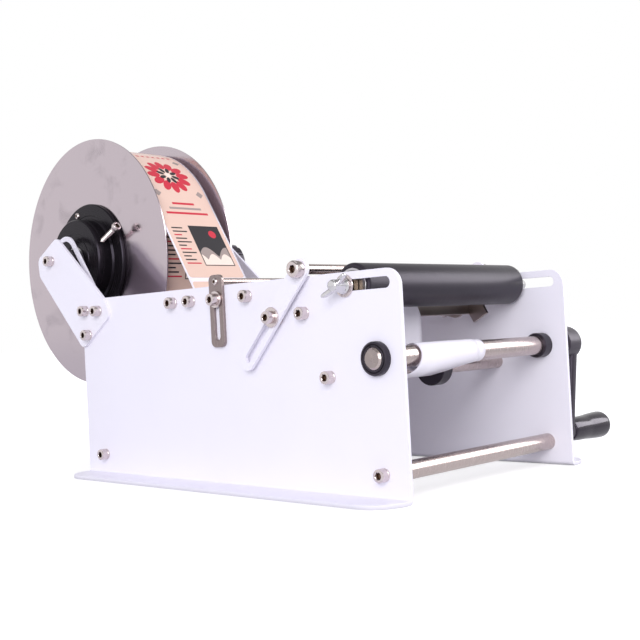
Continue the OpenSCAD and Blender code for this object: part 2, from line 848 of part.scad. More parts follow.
// Rubber sleeve on the roller's tube, with rounded ends
module roller_sleeve() {
    round_r = 2;
    r = roller_d / 2;
    bore_r = roller_tube_d / 2 + run_gap;
    color("dimgray") turned(roller_at, concat([[bore_r, -roller_half]],
        arc([r - round_r, -roller_half + round_r], round_r, -90, 0, 4),
        arc([r - round_r, roller_half - round_r], round_r, 0, 90, 4), [[bore_r, roller_half]]));
}

module roller_bearings() {
    color("silver") for (side = [-1, 1])
        on_side(side)
            ring(roller_at, roller_half - bearing_w, roller_half, bearing_d, axle_d + 2 * run_gap);
}

// Wing nut on the right, with two wings that lean outwards
module wing_nut(turn) {
    r = wing_hub_d / 2;
    tip = wing_reach;
    difference() {
        union() {
            bar(roller_at, wing_x, wing_x + wing_hub_h, wing_hub_d);
            translate([wing_x, roller_at[0], roller_at[1]]) rotate([turn, 0, 0])
                for (flip = [0, 180]) rotate([flip, 0, 0])
                    translate([0, 0, -wing_t / 2]) linear_extrude(wing_t)
                        polygon([[1, r - 2], [1, r + 1.5], [8, tip], [wing_h - 2, tip], [wing_h, tip - 2],
                            [wing_h - 1, tip - 5], [wing_hub_h - 1, r - 1], [wing_hub_h - 2, r - 2]]);
        }
        bar(roller_at, wing_x - eps, wing_x + wing_hub_h + eps, axle_d + 2 * run_gap);
    }
}

module wing_nut_left() {
    color("gainsboro") on_side(-1) wing_nut(-wing_tilt);
}

module wing_nut_right() {
    color("gainsboro") wing_nut(wing_tilt);
}

// Slotted arm on the right: the clamp rests at the upper end of its slot
module rest_arm() {
    slot_low = rest_clamp - (rest_slot_len - rest_slot_w) * rest_dir;
    difference() {
        sheet(rest_in_x, rest_arm_t) difference() {
            slot(rest_at, slot_low - (rest_arm_w - rest_slot_w) / 4 * rest_dir, rest_arm_w);
            slot(rest_clamp, slot_low, rest_slot_w);
        }
        bar(rest_at, rest_in_x - eps, rest_out_x + eps, rest_bolt_d + 0.4);
    }
}

module rest_arm_left() {
    color("whitesmoke") on_side(-1) rest_arm();
}

module rest_arm_right() {
    color("whitesmoke") rest_arm();
}

module rest_rod() {
    color("silver") difference() {
        bar(rest_at, -rest_in_x, rest_in_x, rest_rod_d);
        for (side = [-1, 1])
            on_side(side) bar(rest_at, rest_in_x - screw_len, rest_in_x + eps, rest_stud_d + 2 * run_gap);
    }
}

// Shouldered bolts that hold the rest rod between its arms
module rest_bolts() {
    head_t = 8;
    color("lightgray") for (side = [-1, 1]) on_side(side) {
        difference() {
            union() {
                bar(rest_at, rest_out_x, rest_out_x + head_t, rest_arm_w - 3);
                bar(rest_at, rest_in_x, rest_out_x + eps, rest_bolt_d);
                bar(rest_at, rest_in_x - screw_len + 2, rest_in_x + eps, rest_stud_d);
            }
            translate([rest_out_x + head_t / 2, rest_at[0], rest_at[1]]) rotate([0, 90, 0])
                cylinder(h = head_t, d = socket_d(rest_bolt_d), $fn = 6);
        }
    }
}

module rest_clamp_screws() {
    length = rest_head_x - in_x + slip_gap + nut_t;
    color("lightgray") for (side = [-1, 1])
        on_side(side) socket_screw(rest_clamp, rest_head_x, screw_d, length);
}

// Washers outside the rest arms, spacers behind them and nuts inside the plates
module rest_clamp_washers() {
    color("lightgray") for (side = [-1, 1]) on_side(side) {
        ring(rest_clamp, rest_washer_x, rest_head_x, washer_d, screw_d + 2 * run_gap);
        ring(rest_clamp, out_x + slip_gap, rest_in_x - slip_gap, washer_d - 3, screw_d + 2 * run_gap);
        hex_nut(rest_clamp, in_x - slip_gap - nut_t, nut_t, screw_d);
    }
}

module hold_down_link() {
    link_corner_r = 5;
    difference() {
        sheet(link_in_x, link_t) difference() {
            translate([link_y - link_w / 2, link_low_z])
                rounded_box([link_w, link_len], link_corner_r, link_corner_r);
            slot([link_y, link_slot_low], [link_y, link_slot_high], link_slot_w);
        }
        bar(hold_at, link_in_x - eps, link_out_x + eps, hold_screw_d + 0.3);
    }
}

module hold_down_link_left() {
    color("darkgray") on_side(-1) hold_down_link();
}

module hold_down_link_right() {
    color("darkgray") hold_down_link();
}

module hold_down_rod() {
    color("silver") difference() {
        bar(hold_at, -link_in_x, link_in_x, hold_rod_d);
        for (side = [-1, 1])
            on_side(side) bar(hold_at, link_in_x - screw_len, link_in_x + eps, hold_screw_d + 2 * run_gap);
    }
}

// Low-headed screws that hold the hold-down rod between its links
module hold_down_screws() {
    head_t = 1.6;
    color("lightgray") for (side = [-1, 1]) on_side(side) {
        bar(hold_at, link_out_x, link_out_x + head_t, hold_rod_d);
        bar(hold_at, link_in_x - screw_len + 3, link_out_x + eps, hold_screw_d);
    }
}

// Clamp screws on which the links slide
module hold_down_clamps() {
    length = link_head_x - in_x + nut_t + 1;
    color("lightgray") for (side = [-1, 1])
        on_side(side) socket_screw(link_clamp, link_head_x, screw_d, length);
}

module reel_mandrel() {
    color("silver") difference() {
        bar(reel_at, mandrel_left_x, mandrel_right_x, mandrel_d);
        bar(reel_at, mandrel_left_x - eps, mandrel_right_x + eps, reel_axle_d + 2);
        for (x = [mandrel_left_x - eps, mandrel_right_x - reel_bearing_w])
            bar(reel_at, x, x + reel_bearing_w + eps, reel_bearing_d + 2 * run_gap);
    }
}

module reel_bearings() {
    color("silver") for (x = [mandrel_left_x, mandrel_right_x - reel_bearing_w])
        ring(reel_at, x, x + reel_bearing_w, reel_bearing_d, reel_axle_d + 2 * run_gap);
}

module reel_disc(x0) {
    color("lightslategray") difference() {
        ring(reel_at, x0, x0 + disc_t, disc_d, spigot_d + 2 * run_gap);
        hub_screw_holes(x0, disc_t);
    }
}

module hub_screw_holes(x0, t) {
    for (p = hub_screw_points) bar(p, x0 - eps, x0 + t + eps, hub_screw_d + 2 * slip_gap);
}

module reel_disc_left() {
    reel_disc(disc_left_x - disc_t);
}

module reel_disc_right() {
    reel_disc(disc_right_x);
}

// Stepped hub on the right of its disc: spigot in the core, flange on the disc, body outside
module reel_hub(face_x) {
    bore_r = mandrel_d / 2 + run_gap;
    flange_x = face_x + disc_t;
    body_x = flange_x + hub_flange_t;
    end_x = body_x + hub_len;
    edge = 1;
    difference() {
        turned(reel_at, [[bore_r, face_x - spigot_len], [spigot_d / 2 - edge, face_x - spigot_len],
            [spigot_d / 2, face_x - spigot_len + edge], [spigot_d / 2, flange_x],
            [hub_flange_d / 2, flange_x], [hub_flange_d / 2, body_x - edge],
            [hub_flange_d / 2 - edge, body_x], [hub_d / 2, body_x],
            [hub_d / 2, end_x - edge], [hub_d / 2 - edge, end_x], [bore_r, end_x]]);
        hub_screw_holes(flange_x, hub_flange_t);
    }
}

module reel_hub_left() {
    color("dimgray") difference() {
        on_side(-1) reel_hub(-disc_left_x);
        lock_line(mandrel_d / 4, hub_d, lock_d + 2 * run_gap);
    }
}

module reel_hub_right() {
    color("dimgray") reel_hub(disc_right_x);
}

// A cylinder along the lock screw's line, from radius r0 outwards
module lock_line(r0, length, d) {
    translate([lock_x, reel_at[0], reel_at[1]]) rotate([lock_angle - 90, 0, 0])
        translate([0, 0, r0]) cylinder(h = length, d = d);
}

module reel_lock_screw() {
    head_r = lock_start_r + lock_len;
    color("lightgray") difference() {
        union() {
            lock_line(lock_start_r, lock_len + eps, lock_d);
            lock_line(head_r, lock_d, head_d(lock_d));
        }
        translate([lock_x, reel_at[0], reel_at[1]]) rotate([lock_angle - 90, 0, 0])
            translate([0, 0, head_r + lock_d * (1 - socket_depth_share)])
            cylinder(h = lock_d, d = socket_d(lock_d), $fn = 6);
    }
}

// Screws on the right of a disc, through its hub's flange
module hub_screws(face_x) {
    head_t = 2;
    head_x = face_x + disc_t + hub_flange_t;
    for (p = hub_screw_points) {
        bar(p, head_x, head_x + head_t, 1.7 * hub_screw_d);
        bar(p, face_x, head_x + eps, hub_screw_d);
    }
}

module reel_hub_screws_left() {
    color("lightgray") on_side(-1) hub_screws(-disc_left_x);
}

module reel_hub_screws_right() {
    color("lightgray") hub_screws(disc_right_x);
}

module label_core() {
    color("tan") ring(reel_at, lane_left_x, lane_right_x, core_d + 2 * core_wall, core_d);
}

module label_roll() {
    color("bisque") ring(reel_at, lane_left_x, lane_right_x, roll_d, core_d + 2 * core_wall);
}

place() side_plate_left();
place() side_plate_right();
place() front_tie_rod();
place() rear_tie_rod();
place() paper_guide_rod();
place() feed_rods();
place() table_rods();
place() frame_screws();
place() frame_nuts_washers();
place() shaft_bushes();
place() reel_arm_left();
place() reel_arm_right();
place() reel_arm_screws();
place() reel_brake_leaf();
place() reel_axle();
place() axle_screw();
place() axle_collars();
place() axle_knob();
place() peel_plate();
place() peel_cheeks();
place() label_web();
place() backing_strip();
place() paper_collar_left();
place() paper_collar_right();
place() takeup_shaft();
place() shaft_collar();
place() wound_backing();
place() crank_arm();
place() crank_set_screw();
place() grip_spindle();
place() crank_grip();
place() roller_axle();
place() roller_lock_nuts();
place() roller_tube();
place() roller_sleeve();
place() roller_bearings();
place() wing_nut_left();
place() wing_nut_right();
place() rest_arm_left();
place() rest_arm_right();
place() rest_rod();
place() rest_bolts();
place() rest_clamp_screws();
place() rest_clamp_washers();
place() hold_down_link_left();
place() hold_down_link_right();
place() hold_down_rod();
place() hold_down_screws();
place() hold_down_clamps();
place() reel_mandrel();
place() reel_bearings();
place() reel_disc_left();
place() reel_disc_right();
place() reel_hub_left();
place() reel_hub_right();
place() reel_hub_screws_left();
place() reel_hub_screws_right();
place() reel_lock_screw();
place() label_core();
place() label_roll();
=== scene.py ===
"""Looks of a hand-cranked bottle labeling machine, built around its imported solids."""
import math

import bmesh
import bpy
from mathutils import Matrix, Vector


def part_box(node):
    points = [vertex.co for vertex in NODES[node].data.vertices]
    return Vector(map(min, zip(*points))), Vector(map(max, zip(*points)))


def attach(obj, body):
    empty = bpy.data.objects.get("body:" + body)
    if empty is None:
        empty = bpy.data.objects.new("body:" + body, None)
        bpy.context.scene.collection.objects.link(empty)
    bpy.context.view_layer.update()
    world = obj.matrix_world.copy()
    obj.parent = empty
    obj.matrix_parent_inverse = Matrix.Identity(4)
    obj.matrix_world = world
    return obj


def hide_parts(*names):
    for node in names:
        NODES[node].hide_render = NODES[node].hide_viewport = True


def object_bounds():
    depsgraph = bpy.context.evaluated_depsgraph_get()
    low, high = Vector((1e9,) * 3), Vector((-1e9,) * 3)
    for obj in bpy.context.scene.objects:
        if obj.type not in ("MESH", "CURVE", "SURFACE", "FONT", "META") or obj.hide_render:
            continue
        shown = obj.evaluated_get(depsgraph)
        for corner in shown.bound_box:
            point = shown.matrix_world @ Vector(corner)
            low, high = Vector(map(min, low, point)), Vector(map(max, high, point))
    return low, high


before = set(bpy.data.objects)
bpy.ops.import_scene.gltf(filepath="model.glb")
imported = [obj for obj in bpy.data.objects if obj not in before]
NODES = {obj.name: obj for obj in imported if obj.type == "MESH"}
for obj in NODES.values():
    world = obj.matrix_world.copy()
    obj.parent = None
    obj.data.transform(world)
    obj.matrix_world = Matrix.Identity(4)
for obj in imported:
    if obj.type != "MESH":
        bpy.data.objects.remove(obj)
CAD_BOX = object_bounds()
MM = 0.001

bl_info = {
    "name": "Bottle labeling machine",
    "version": (1, 0, 0),
    "blender": (4, 5, 0),
    "location": "View3D > Sidebar > Labeler",
    "description": "Dresses the solids of a hand-cranked bottle labeling machine",
    "category": "Object",
}

LEFT_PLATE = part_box("side_plate_left")
RIGHT_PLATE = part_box("side_plate_right")
MIDDLE = (LEFT_PLATE[0].x + RIGHT_PLATE[1].x) / 2
FRONT = LEFT_PLATE[0].y


def place(x, y, z):
    """Millimetres from the machine's middle, front edge and table as a point of the frame."""
    return Vector((MIDDLE + x * MM, FRONT + y * MM, z * MM))


def middle(box):
    """Centre of a box in the side view, in millimetres from the front edge and the table."""
    low, high = box
    return ((low.y + high.y) / 2 - FRONT) / MM, (low.z + high.z) / 2 / MM


def side_view(node):
    """Centre of a node in the side view, in millimetres from the front edge and the table."""
    return middle(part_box(node))


def across_of(node):
    """Left and right end of a node, in millimetres from the machine's middle."""
    low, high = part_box(node)
    return (low.x - MIDDLE) / MM, (high.x - MIDDLE) / MM


def radius_of(node):
    """Half the height of a node, in millimetres."""
    low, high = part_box(node)
    return (high.z - low.z) / 2 / MM


def linear(code):
    """An sRGB hex colour as linear red, green, blue and alpha."""
    parts = [int(code[i:i + 2], 16) / 255 for i in (1, 3, 5)]
    return tuple(c / 12.92 if c <= 0.04045 else ((c + 0.055) / 1.055) ** 2.4 for c in parts) + (1.0,)


def colour(title, words, code):
    """A colour setting with an sRGB hex default."""
    return bpy.props.FloatVectorProperty(
        name=title, description=words, subtype="COLOR", size=4, min=0.0, max=1.0, default=linear(code))


def length(title, words, metres):
    """A length setting in metres."""
    return bpy.props.FloatProperty(name=title, description=words, unit="LENGTH", default=metres, min=0.0)


class LabelerColours(bpy.types.PropertyGroup):
    """Colours of the machine's finishes"""
    plate: colour("Plate", "Powder coat of the plates and arms", "#f4f1fb")
    bar: colour("Bar", "Ground stainless bar", "#c2b4b1")
    disc: colour("Disc", "Mill finish stainless sheet", "#c3b7be")
    strap: colour("Strap", "Brushed stainless strap", "#a39493")
    screw: colour("Screw", "Nickel plated screws", "#ded2d2")
    peel: colour("Peel plate", "Cold rolled peel plate", "#ac9f9b")
    zinc: colour("Zinc", "Bright zinc casting", "#dcdadd")
    thread: colour("Thread", "Oiled steel thread", "#8b7a68")
    black: colour("Black", "Black plastics", "#1d1a1e")
    rubber: colour("Rubber", "Roller rubber", "#1d1a1f")
    sheen: colour("Sheen", "Tint of the shine on black parts", "#e2d6ef")
    alloy: colour("Alloy", "Turned aluminium", "#cfccd0")
    # Oil and Dust below are the two tones of painted shade inside a screw's socket.
    oil: colour("Oil", "Oiled bottom of a screw's socket", "#3a2a22")
    dust: colour("Dust", "Dust in a screw's socket", "#8a7566")
    label: colour("Label", "Label paper", "#e8c8b8")
    liner: colour("Liner", "Backing paper", "#f6f2fb")
    red: colour("Red ink", "Red print", "#cf3144")
    dark: colour("Dark ink", "Dark print", "#2d2a2e")
    grey: colour("Grey ink", "Grey print", "#a3948f")
    cream: colour("Bare print", "Paper left bare in the print", "#f6e3d6")
    board: colour("Board", "Kraft board of the roll's core", "#b39470")


class LabelerSizes(bpy.types.PropertyGroup):
    """Sizes of the details that the solids leave out"""
    edge: length("Sheet edge", "Rounding of the coated sheet edges", 0.0006)
    strap_edge: length("Strap edge", "Rounding of the bare strap edges", 0.0003)
    lock_pitch: length("Lock screw pitch", "Thread pitch of the lock screw", 0.0008)
    axle_pitch: length("Axle pitch", "Thread pitch of the roller axle", 0.00125)
    label_gap: length("Label gap", "Bare liner between two labels", 0.0045)
    label_foot: length("Label foot", "Web between the roll and the foot of the label that hangs from it",
                       0.103)
    label_margin: length("Label margin", "Bare liner beside a label", 0.002)
    paper: length("Paper", "Thickness of the backing paper", 0.00025)
    labels_per_turn: bpy.props.IntProperty(
        name="Labels per turn", description="Labels on the outer turn of the roll", default=4, min=1)
    wound_turns: bpy.props.IntProperty(
        name="Wound turns", description="Turns of spent backing paper", default=4, min=2)


class LabelerStage(bpy.types.PropertyGroup):
    """Camera, lamps and floor"""
    lens: bpy.props.FloatProperty(name="Lens", description="Focal length in millimetres", default=58.366,
                                  min=1.0)
    tilt: bpy.props.FloatVectorProperty(
        name="Camera angles", description="Rotation of the camera", subtype="EULER", unit="ROTATION",
        default=(math.radians(90.712), math.radians(3.025), math.radians(-45.725)))
    spot: bpy.props.FloatVectorProperty(
        name="Camera place", description="Millimetres from the machine's middle, front edge and table",
        default=(-666.9, -464.0, 123.4))
    key: bpy.props.FloatProperty(name="Key lamp", description="Power of the left lamp", unit="POWER",
                                 default=84.0)
    key_place: bpy.props.FloatVectorProperty(
        name="Key place", description="Place of the left lamp", subtype="TRANSLATION", unit="LENGTH",
        default=(-3.1, -2.1, 1.3))
    key_size: length("Key size", "Side of the left lamp's square", 2.0)
    fill: bpy.props.FloatProperty(name="Fill lamp", description="Power of the right lamp", unit="POWER",
                                  default=24.0)
    fill_place: bpy.props.FloatVectorProperty(
        name="Fill place", description="Place of the right lamp", subtype="TRANSLATION", unit="LENGTH",
        default=(1.5, -1.35, 0.95))
    fill_size: length("Fill size", "Side of the right lamp's square", 1.2)
    room: bpy.props.FloatProperty(name="Room light", description="Strength of the even light", default=0.68,
                                  min=0.0)
    floor: length("Floor", "Half width of the floor", 30.0)


def wire(tree, node, sockets):
    """Gives a node's inputs their values, or links them to outputs."""
    for key, value in sockets.items():
        if isinstance(value, bpy.types.NodeSocket):
            tree.links.new(value, node.inputs[key])
        else:
            node.inputs[key].default_value = value


def add(tree, kind, sockets=None, **settings):
    """Adds one node: settings are its attributes, sockets its inputs, as values or as outputs to link."""
    made = tree.nodes.new(kind)
    for key, value in settings.items():
        setattr(made, key, value)
    wire(tree, made, sockets or {})
    return made


def begin(name):
    """A new material's tree, its shader and the piece's own coordinates in metres."""
    made = bpy.data.materials.new(name)
    made.use_nodes = True
    tree = made.node_tree
    shader = tree.nodes["Principled BSDF"]
    coords = add(tree, "ShaderNodeTexCoord").outputs["Object"]
    return made, tree, shader, coords


def per_mm(size):
    """Pattern scale for features of that many millimetres."""
    return 1000.0 / size


def shade(colour_value, share):
    """A colour made darker or lighter by a share."""
    return tuple(min(1.0, c * share) for c in colour_value[:3]) + (1.0,)


def from_axis(tree, coords, axis):
    """Distance from an axis that runs along the machine's width."""
    centred = add(tree, "ShaderNodeVectorMath", {0: coords, 1: tuple(axis)}, operation="SUBTRACT")
    flat = add(tree, "ShaderNodeVectorMath", {0: centred.outputs[0], 1: (0.0, 1.0, 1.0)},
               operation="MULTIPLY")
    return add(tree, "ShaderNodeVectorMath", {0: flat.outputs[0]}, operation="LENGTH").outputs["Value"]


def powder_coat(tints):
    """White polyester powder, sprayed and baked: a satin skin with fine orange peel and faint marks."""
    made, tree, shader, coords = begin("powder_coat_white")
    cloud = add(tree, "ShaderNodeTexNoise", {"Vector": coords, "Scale": per_mm(60), "Detail": 3.0})
    tone = add(tree, "ShaderNodeMix", {"Factor": cloud.outputs[0], 6: shade(tints.plate, 0.965),
                                       7: tints.plate}, data_type="RGBA")
    marks = add(tree, "ShaderNodeTexNoise", {"Vector": coords, "Scale": per_mm(9), "Detail": 6.0,
                                             "Roughness": 0.7})
    gloss = add(tree, "ShaderNodeMapRange", {0: marks.outputs[0], 1: 0.35, 2: 0.75, 3: 0.36, 4: 0.5})
    # The feet's rims get painted shade, darker grey towards the floor, up to the sheet's 3 mm.
    height = add(tree, "ShaderNodeSeparateXYZ", {0: add(tree, "ShaderNodeNewGeometry").outputs["Position"]})
    painted_rim_shade = add(tree, "ShaderNodeMapRange", {0: height.outputs[2], 1: 0.0006, 2: 0.0029, 3: 0.8, 4: 0.0})
    tone = add(tree, "ShaderNodeMix", {"Factor": painted_rim_shade.outputs[0], 6: tone.outputs[2],
                                       7: shade(tints.plate, 0.72)}, data_type="RGBA")
    # Orange peel is near 0.5 mm; it is drawn at 1.5 mm so that it shows.
    peel = add(tree, "ShaderNodeTexNoise", {"Vector": coords, "Scale": per_mm(1.5), "Detail": 2.0})
    bump = add(tree, "ShaderNodeBump", {"Height": peel.outputs[0], "Strength": 0.12, "Distance": 0.0004})
    wire(tree, shader, {"Base Color": tone.outputs[2], "Roughness": gloss.outputs[0],
                        "Normal": bump.outputs[0]})
    return made


def ground_bar(tints):
    """Centreless ground stainless bar: bright, with rings of fine grinding lines around it."""
    made, tree, shader, coords = begin("stainless_ground_bar")
    # Grinding lines are near 0.1 mm; they are drawn at 0.9 mm so that they show.
    stretch = add(tree, "ShaderNodeMapping",
                  {"Vector": coords, "Scale": (per_mm(0.9), per_mm(14), per_mm(14))})
    lines = add(tree, "ShaderNodeTexNoise", {"Vector": stretch.outputs[0], "Scale": 1.0, "Detail": 3.0})
    gloss = add(tree, "ShaderNodeMapRange", {0: lines.outputs[0], 1: 0.3, 2: 0.7, 3: 0.2, 4: 0.3})
    tone = add(tree, "ShaderNodeMix", {"Factor": lines.outputs[0], 6: shade(tints.bar, 0.9), 7: tints.bar},
               data_type="RGBA")
    bump = add(tree, "ShaderNodeBump", {"Height": lines.outputs[0], "Strength": 0.015, "Distance": 0.0002})
    wire(tree, shader, {"Metallic": 1.0, "Base Color": tone.outputs[2], "Roughness": gloss.outputs[0],
                        "Normal": bump.outputs[0]})
    return made


def mill_sheet(tints):
    """Cold rolled stainless sheet: dull mirror with rolling lines, finger smudges and a few rubs."""
    made, tree, shader, coords = begin("stainless_mill_sheet")
    stretch = add(tree, "ShaderNodeMapping",
                  {"Vector": coords, "Scale": (per_mm(40), per_mm(40), per_mm(1.2))})
    lines = add(tree, "ShaderNodeTexNoise", {"Vector": stretch.outputs[0], "Scale": 1.0, "Detail": 4.0})
    smudge = add(tree, "ShaderNodeTexNoise", {"Vector": coords, "Scale": per_mm(34), "Detail": 5.0,
                                              "Roughness": 0.55, "Distortion": 0.4})
    haze = add(tree, "ShaderNodeMapRange", {0: smudge.outputs[0], 1: 0.56, 2: 0.74, 3: 0.0, 4: 1.0})
    tone = add(tree, "ShaderNodeMix", {"Factor": haze.outputs[0], 6: tints.disc, 7: shade(tints.disc, 0.84)},
               data_type="RGBA")
    gloss = add(tree, "ShaderNodeMapRange", {0: haze.outputs[0], 3: 0.17, 4: 0.3})
    bump = add(tree, "ShaderNodeBump", {"Height": lines.outputs[0], "Strength": 0.04, "Distance": 0.0002})
    wire(tree, shader, {"Metallic": 1.0, "Base Color": tone.outputs[2], "Roughness": gloss.outputs[0],
                        "Normal": bump.outputs[0]})
    return made


def brushed_strap(tints):
    """Belt-ground stainless strap: straight brush lines along its length."""
    made, tree, shader, coords = begin("stainless_brushed_strap")
    # Brush lines are near 0.15 mm; they are drawn at 0.7 mm so that they show.
    stretch = add(tree, "ShaderNodeMapping",
                  {"Vector": coords, "Scale": (per_mm(0.7), per_mm(0.7), per_mm(30))})
    lines = add(tree, "ShaderNodeTexNoise", {"Vector": stretch.outputs[0], "Scale": 1.0, "Detail": 3.0})
    tone = add(tree, "ShaderNodeMix", {"Factor": lines.outputs[0], 6: shade(tints.strap, 0.72),
                                       7: tints.strap}, data_type="RGBA")
    gloss = add(tree, "ShaderNodeMapRange", {0: lines.outputs[0], 1: 0.3, 2: 0.7, 3: 0.22, 4: 0.4})
    bump = add(tree, "ShaderNodeBump", {"Height": lines.outputs[0], "Strength": 0.12, "Distance": 0.0002})
    wire(tree, shader, {"Metallic": 1.0, "Base Color": tone.outputs[2], "Roughness": gloss.outputs[0],
                        "Normal": bump.outputs[0]})
    return made


def plated(name, tint, low, high, spot_mm=3.5, relief=0.05):
    """Bright bare or plated metal: clear reflections with dull patches of a size."""
    made, tree, shader, coords = begin(name)
    dull = add(tree, "ShaderNodeTexNoise", {"Vector": coords, "Scale": per_mm(spot_mm), "Detail": 4.0})
    gloss = add(tree, "ShaderNodeMapRange", {0: dull.outputs[0], 1: 0.35, 2: 0.7, 3: low, 4: high})
    tone = add(tree, "ShaderNodeMix", {"Factor": dull.outputs[0], 6: shade(tint, 0.85), 7: tint},
               data_type="RGBA")
    bump = add(tree, "ShaderNodeBump", {"Height": dull.outputs[0], "Strength": relief, "Distance": 0.0003})
    wire(tree, shader, {"Metallic": 1.0, "Base Color": tone.outputs[2], "Roughness": gloss.outputs[0],
                        "Normal": bump.outputs[0]})
    return made


def turned_face(tints):
    """End of a bar faced on a lathe: rings of tool marks that spread its highlight into two wedges."""
    made, tree, shader, coords = begin("stainless_turned_face")
    marks = add(tree, "ShaderNodeTexNoise", {"Vector": coords, "Scale": per_mm(9), "Detail": 1.0})
    gloss = add(tree, "ShaderNodeMapRange", {0: marks.outputs[0], 1: 0.3, 2: 0.7, 3: 0.26, 4: 0.32})
    rings = add(tree, "ShaderNodeTangent", direction_type="RADIAL", axis="X")
    wire(tree, shader, {"Base Color": shade(tints.bar, 0.72), "Metallic": 1.0, "Anisotropic": 0.75,
                        "Roughness": gloss.outputs[0], "Tangent": rings.outputs[0]})
    return made


def socket_shade(tints):
    """Painted shade in a screw's socket: dark warm metal, mottled between two tones, that gives back little
    light.
    """
    made, tree, shader, coords = begin("painted_socket_shade")
    # The noise mottles the painted shade between its dark tone and its lighter tone.
    dust = add(tree, "ShaderNodeTexNoise", {"Vector": coords, "Scale": per_mm(1.2), "Detail": 3.0})
    tone = add(tree, "ShaderNodeMix", {"Factor": dust.outputs[0], 6: tints.oil, 7: tints.dust},
               data_type="RGBA")
    wire(tree, shader, {"Metallic": 1.0, "Roughness": 0.38, "Base Color": tone.outputs[2]})
    return made


def thread_steel(tints):
    """Rolled steel thread with a film of oil: brownish flanks and bright crests."""
    made, tree, shader, coords = begin("oiled_thread_steel")
    film = add(tree, "ShaderNodeTexNoise", {"Vector": coords, "Scale": per_mm(2.5), "Detail": 4.0})
    tone = add(tree, "ShaderNodeMix", {"Factor": film.outputs[0], 6: shade(tints.thread, 0.55),
                                       7: tints.thread}, data_type="RGBA")
    gloss = add(tree, "ShaderNodeMapRange", {0: film.outputs[0], 3: 0.2, 4: 0.42})
    wire(tree, shader, {"Metallic": 1.0, "Base Color": tone.outputs[2], "Roughness": gloss.outputs[0]})
    return made


def turned_black(tints, name, axis, tint, gloss_low, gloss_high, ring_mm, shine):
    """Black plastic turned on a lathe: semi-gloss, with rings of fine tool marks about its axis."""
    made, tree, shader, coords = begin(name)
    radius = from_axis(tree, coords, axis)
    rings = add(tree, "ShaderNodeTexNoise", {"W": radius, "Scale": per_mm(ring_mm), "Detail": 2.0},
                noise_dimensions="1D")
    dust = add(tree, "ShaderNodeTexNoise", {"Vector": coords, "Scale": per_mm(12), "Detail": 5.0})
    tone = add(tree, "ShaderNodeMix", {"Factor": dust.outputs[0], 6: tint, 7: shade(tint, 1.9)},
               data_type="RGBA")
    gloss = add(tree, "ShaderNodeMapRange", {0: rings.outputs[0], 1: 0.3, 2: 0.7, 3: gloss_low,
                                             4: gloss_high})
    bump = add(tree, "ShaderNodeBump", {"Height": rings.outputs[0], "Strength": 0.04, "Distance": 0.0003})
    wire(tree, shader, {"Specular IOR Level": shine, "Specular Tint": tints.sheen,
                        "Base Color": tone.outputs[2], "Roughness": gloss.outputs[0],
                        "Normal": bump.outputs[0]})
    return made


def moulded_black(tints, name, tint, gloss_low, gloss_high, grain_mm):
    """Moulded black plastic: even satin with the mould's fine grain."""
    made, tree, shader, coords = begin(name)
    grain = add(tree, "ShaderNodeTexNoise", {"Vector": coords, "Scale": per_mm(grain_mm), "Detail": 3.0})
    cloud = add(tree, "ShaderNodeTexNoise", {"Vector": coords, "Scale": per_mm(18), "Detail": 3.0})
    tone = add(tree, "ShaderNodeMix", {"Factor": cloud.outputs[0], 6: tint, 7: shade(tint, 1.7)},
               data_type="RGBA")
    gloss = add(tree, "ShaderNodeMapRange", {0: cloud.outputs[0], 1: 0.3, 2: 0.7, 3: gloss_low,
                                             4: gloss_high})
    bump = add(tree, "ShaderNodeBump", {"Height": grain.outputs[0], "Strength": 0.08, "Distance": 0.0003})
    wire(tree, shader, {"Specular Tint": tints.sheen, "Base Color": tone.outputs[2],
                        "Roughness": gloss.outputs[0], "Normal": bump.outputs[0]})
    return made


def ground_rubber(tints):
    """Ground nitrile rubber: dull black with rings of grinding lines and a trace of dust."""
    made, tree, shader, coords = begin("ground_nitrile_rubber")
    stretch = add(tree, "ShaderNodeMapping",
                  {"Vector": coords, "Scale": (per_mm(0.8), per_mm(10), per_mm(10))})
    lines = add(tree, "ShaderNodeTexNoise", {"Vector": stretch.outputs[0], "Scale": 1.0, "Detail": 3.0})
    dust = add(tree, "ShaderNodeTexNoise", {"Vector": coords, "Scale": per_mm(24), "Detail": 5.0})
    tone = add(tree, "ShaderNodeMix", {"Factor": dust.outputs[0], 6: tints.rubber,
                                       7: shade(tints.rubber, 1.5)}, data_type="RGBA")
    gloss = add(tree, "ShaderNodeMapRange", {0: lines.outputs[0], 1: 0.3, 2: 0.7, 3: 0.36, 4: 0.44})
    bump = add(tree, "ShaderNodeBump", {"Height": lines.outputs[0], "Strength": 0.06, "Distance": 0.0003})
    wire(tree, shader, {"Specular Tint": tints.sheen, "Base Color": tone.outputs[2],
                        "Roughness": gloss.outputs[0], "Normal": bump.outputs[0]})
    return made


def paper(name, tint, fibre, gloss):
    """Pressed paper: matt to satin, with soft fibre clouds and a little light inside."""
    made, tree, shader, coords = begin(name)
    cloud = add(tree, "ShaderNodeTexNoise", {"Vector": coords, "Scale": per_mm(fibre), "Detail": 5.0})
    tone = add(tree, "ShaderNodeMix", {"Factor": cloud.outputs[0], 6: shade(tint, 0.93), 7: tint},
               data_type="RGBA")
    bump = add(tree, "ShaderNodeBump", {"Height": cloud.outputs[0], "Strength": 0.06, "Distance": 0.0002})
    wire(tree, shader, {"Roughness": gloss, "IOR": 1.45, "Base Color": tone.outputs[2],
                        "Normal": bump.outputs[0]})
    return made


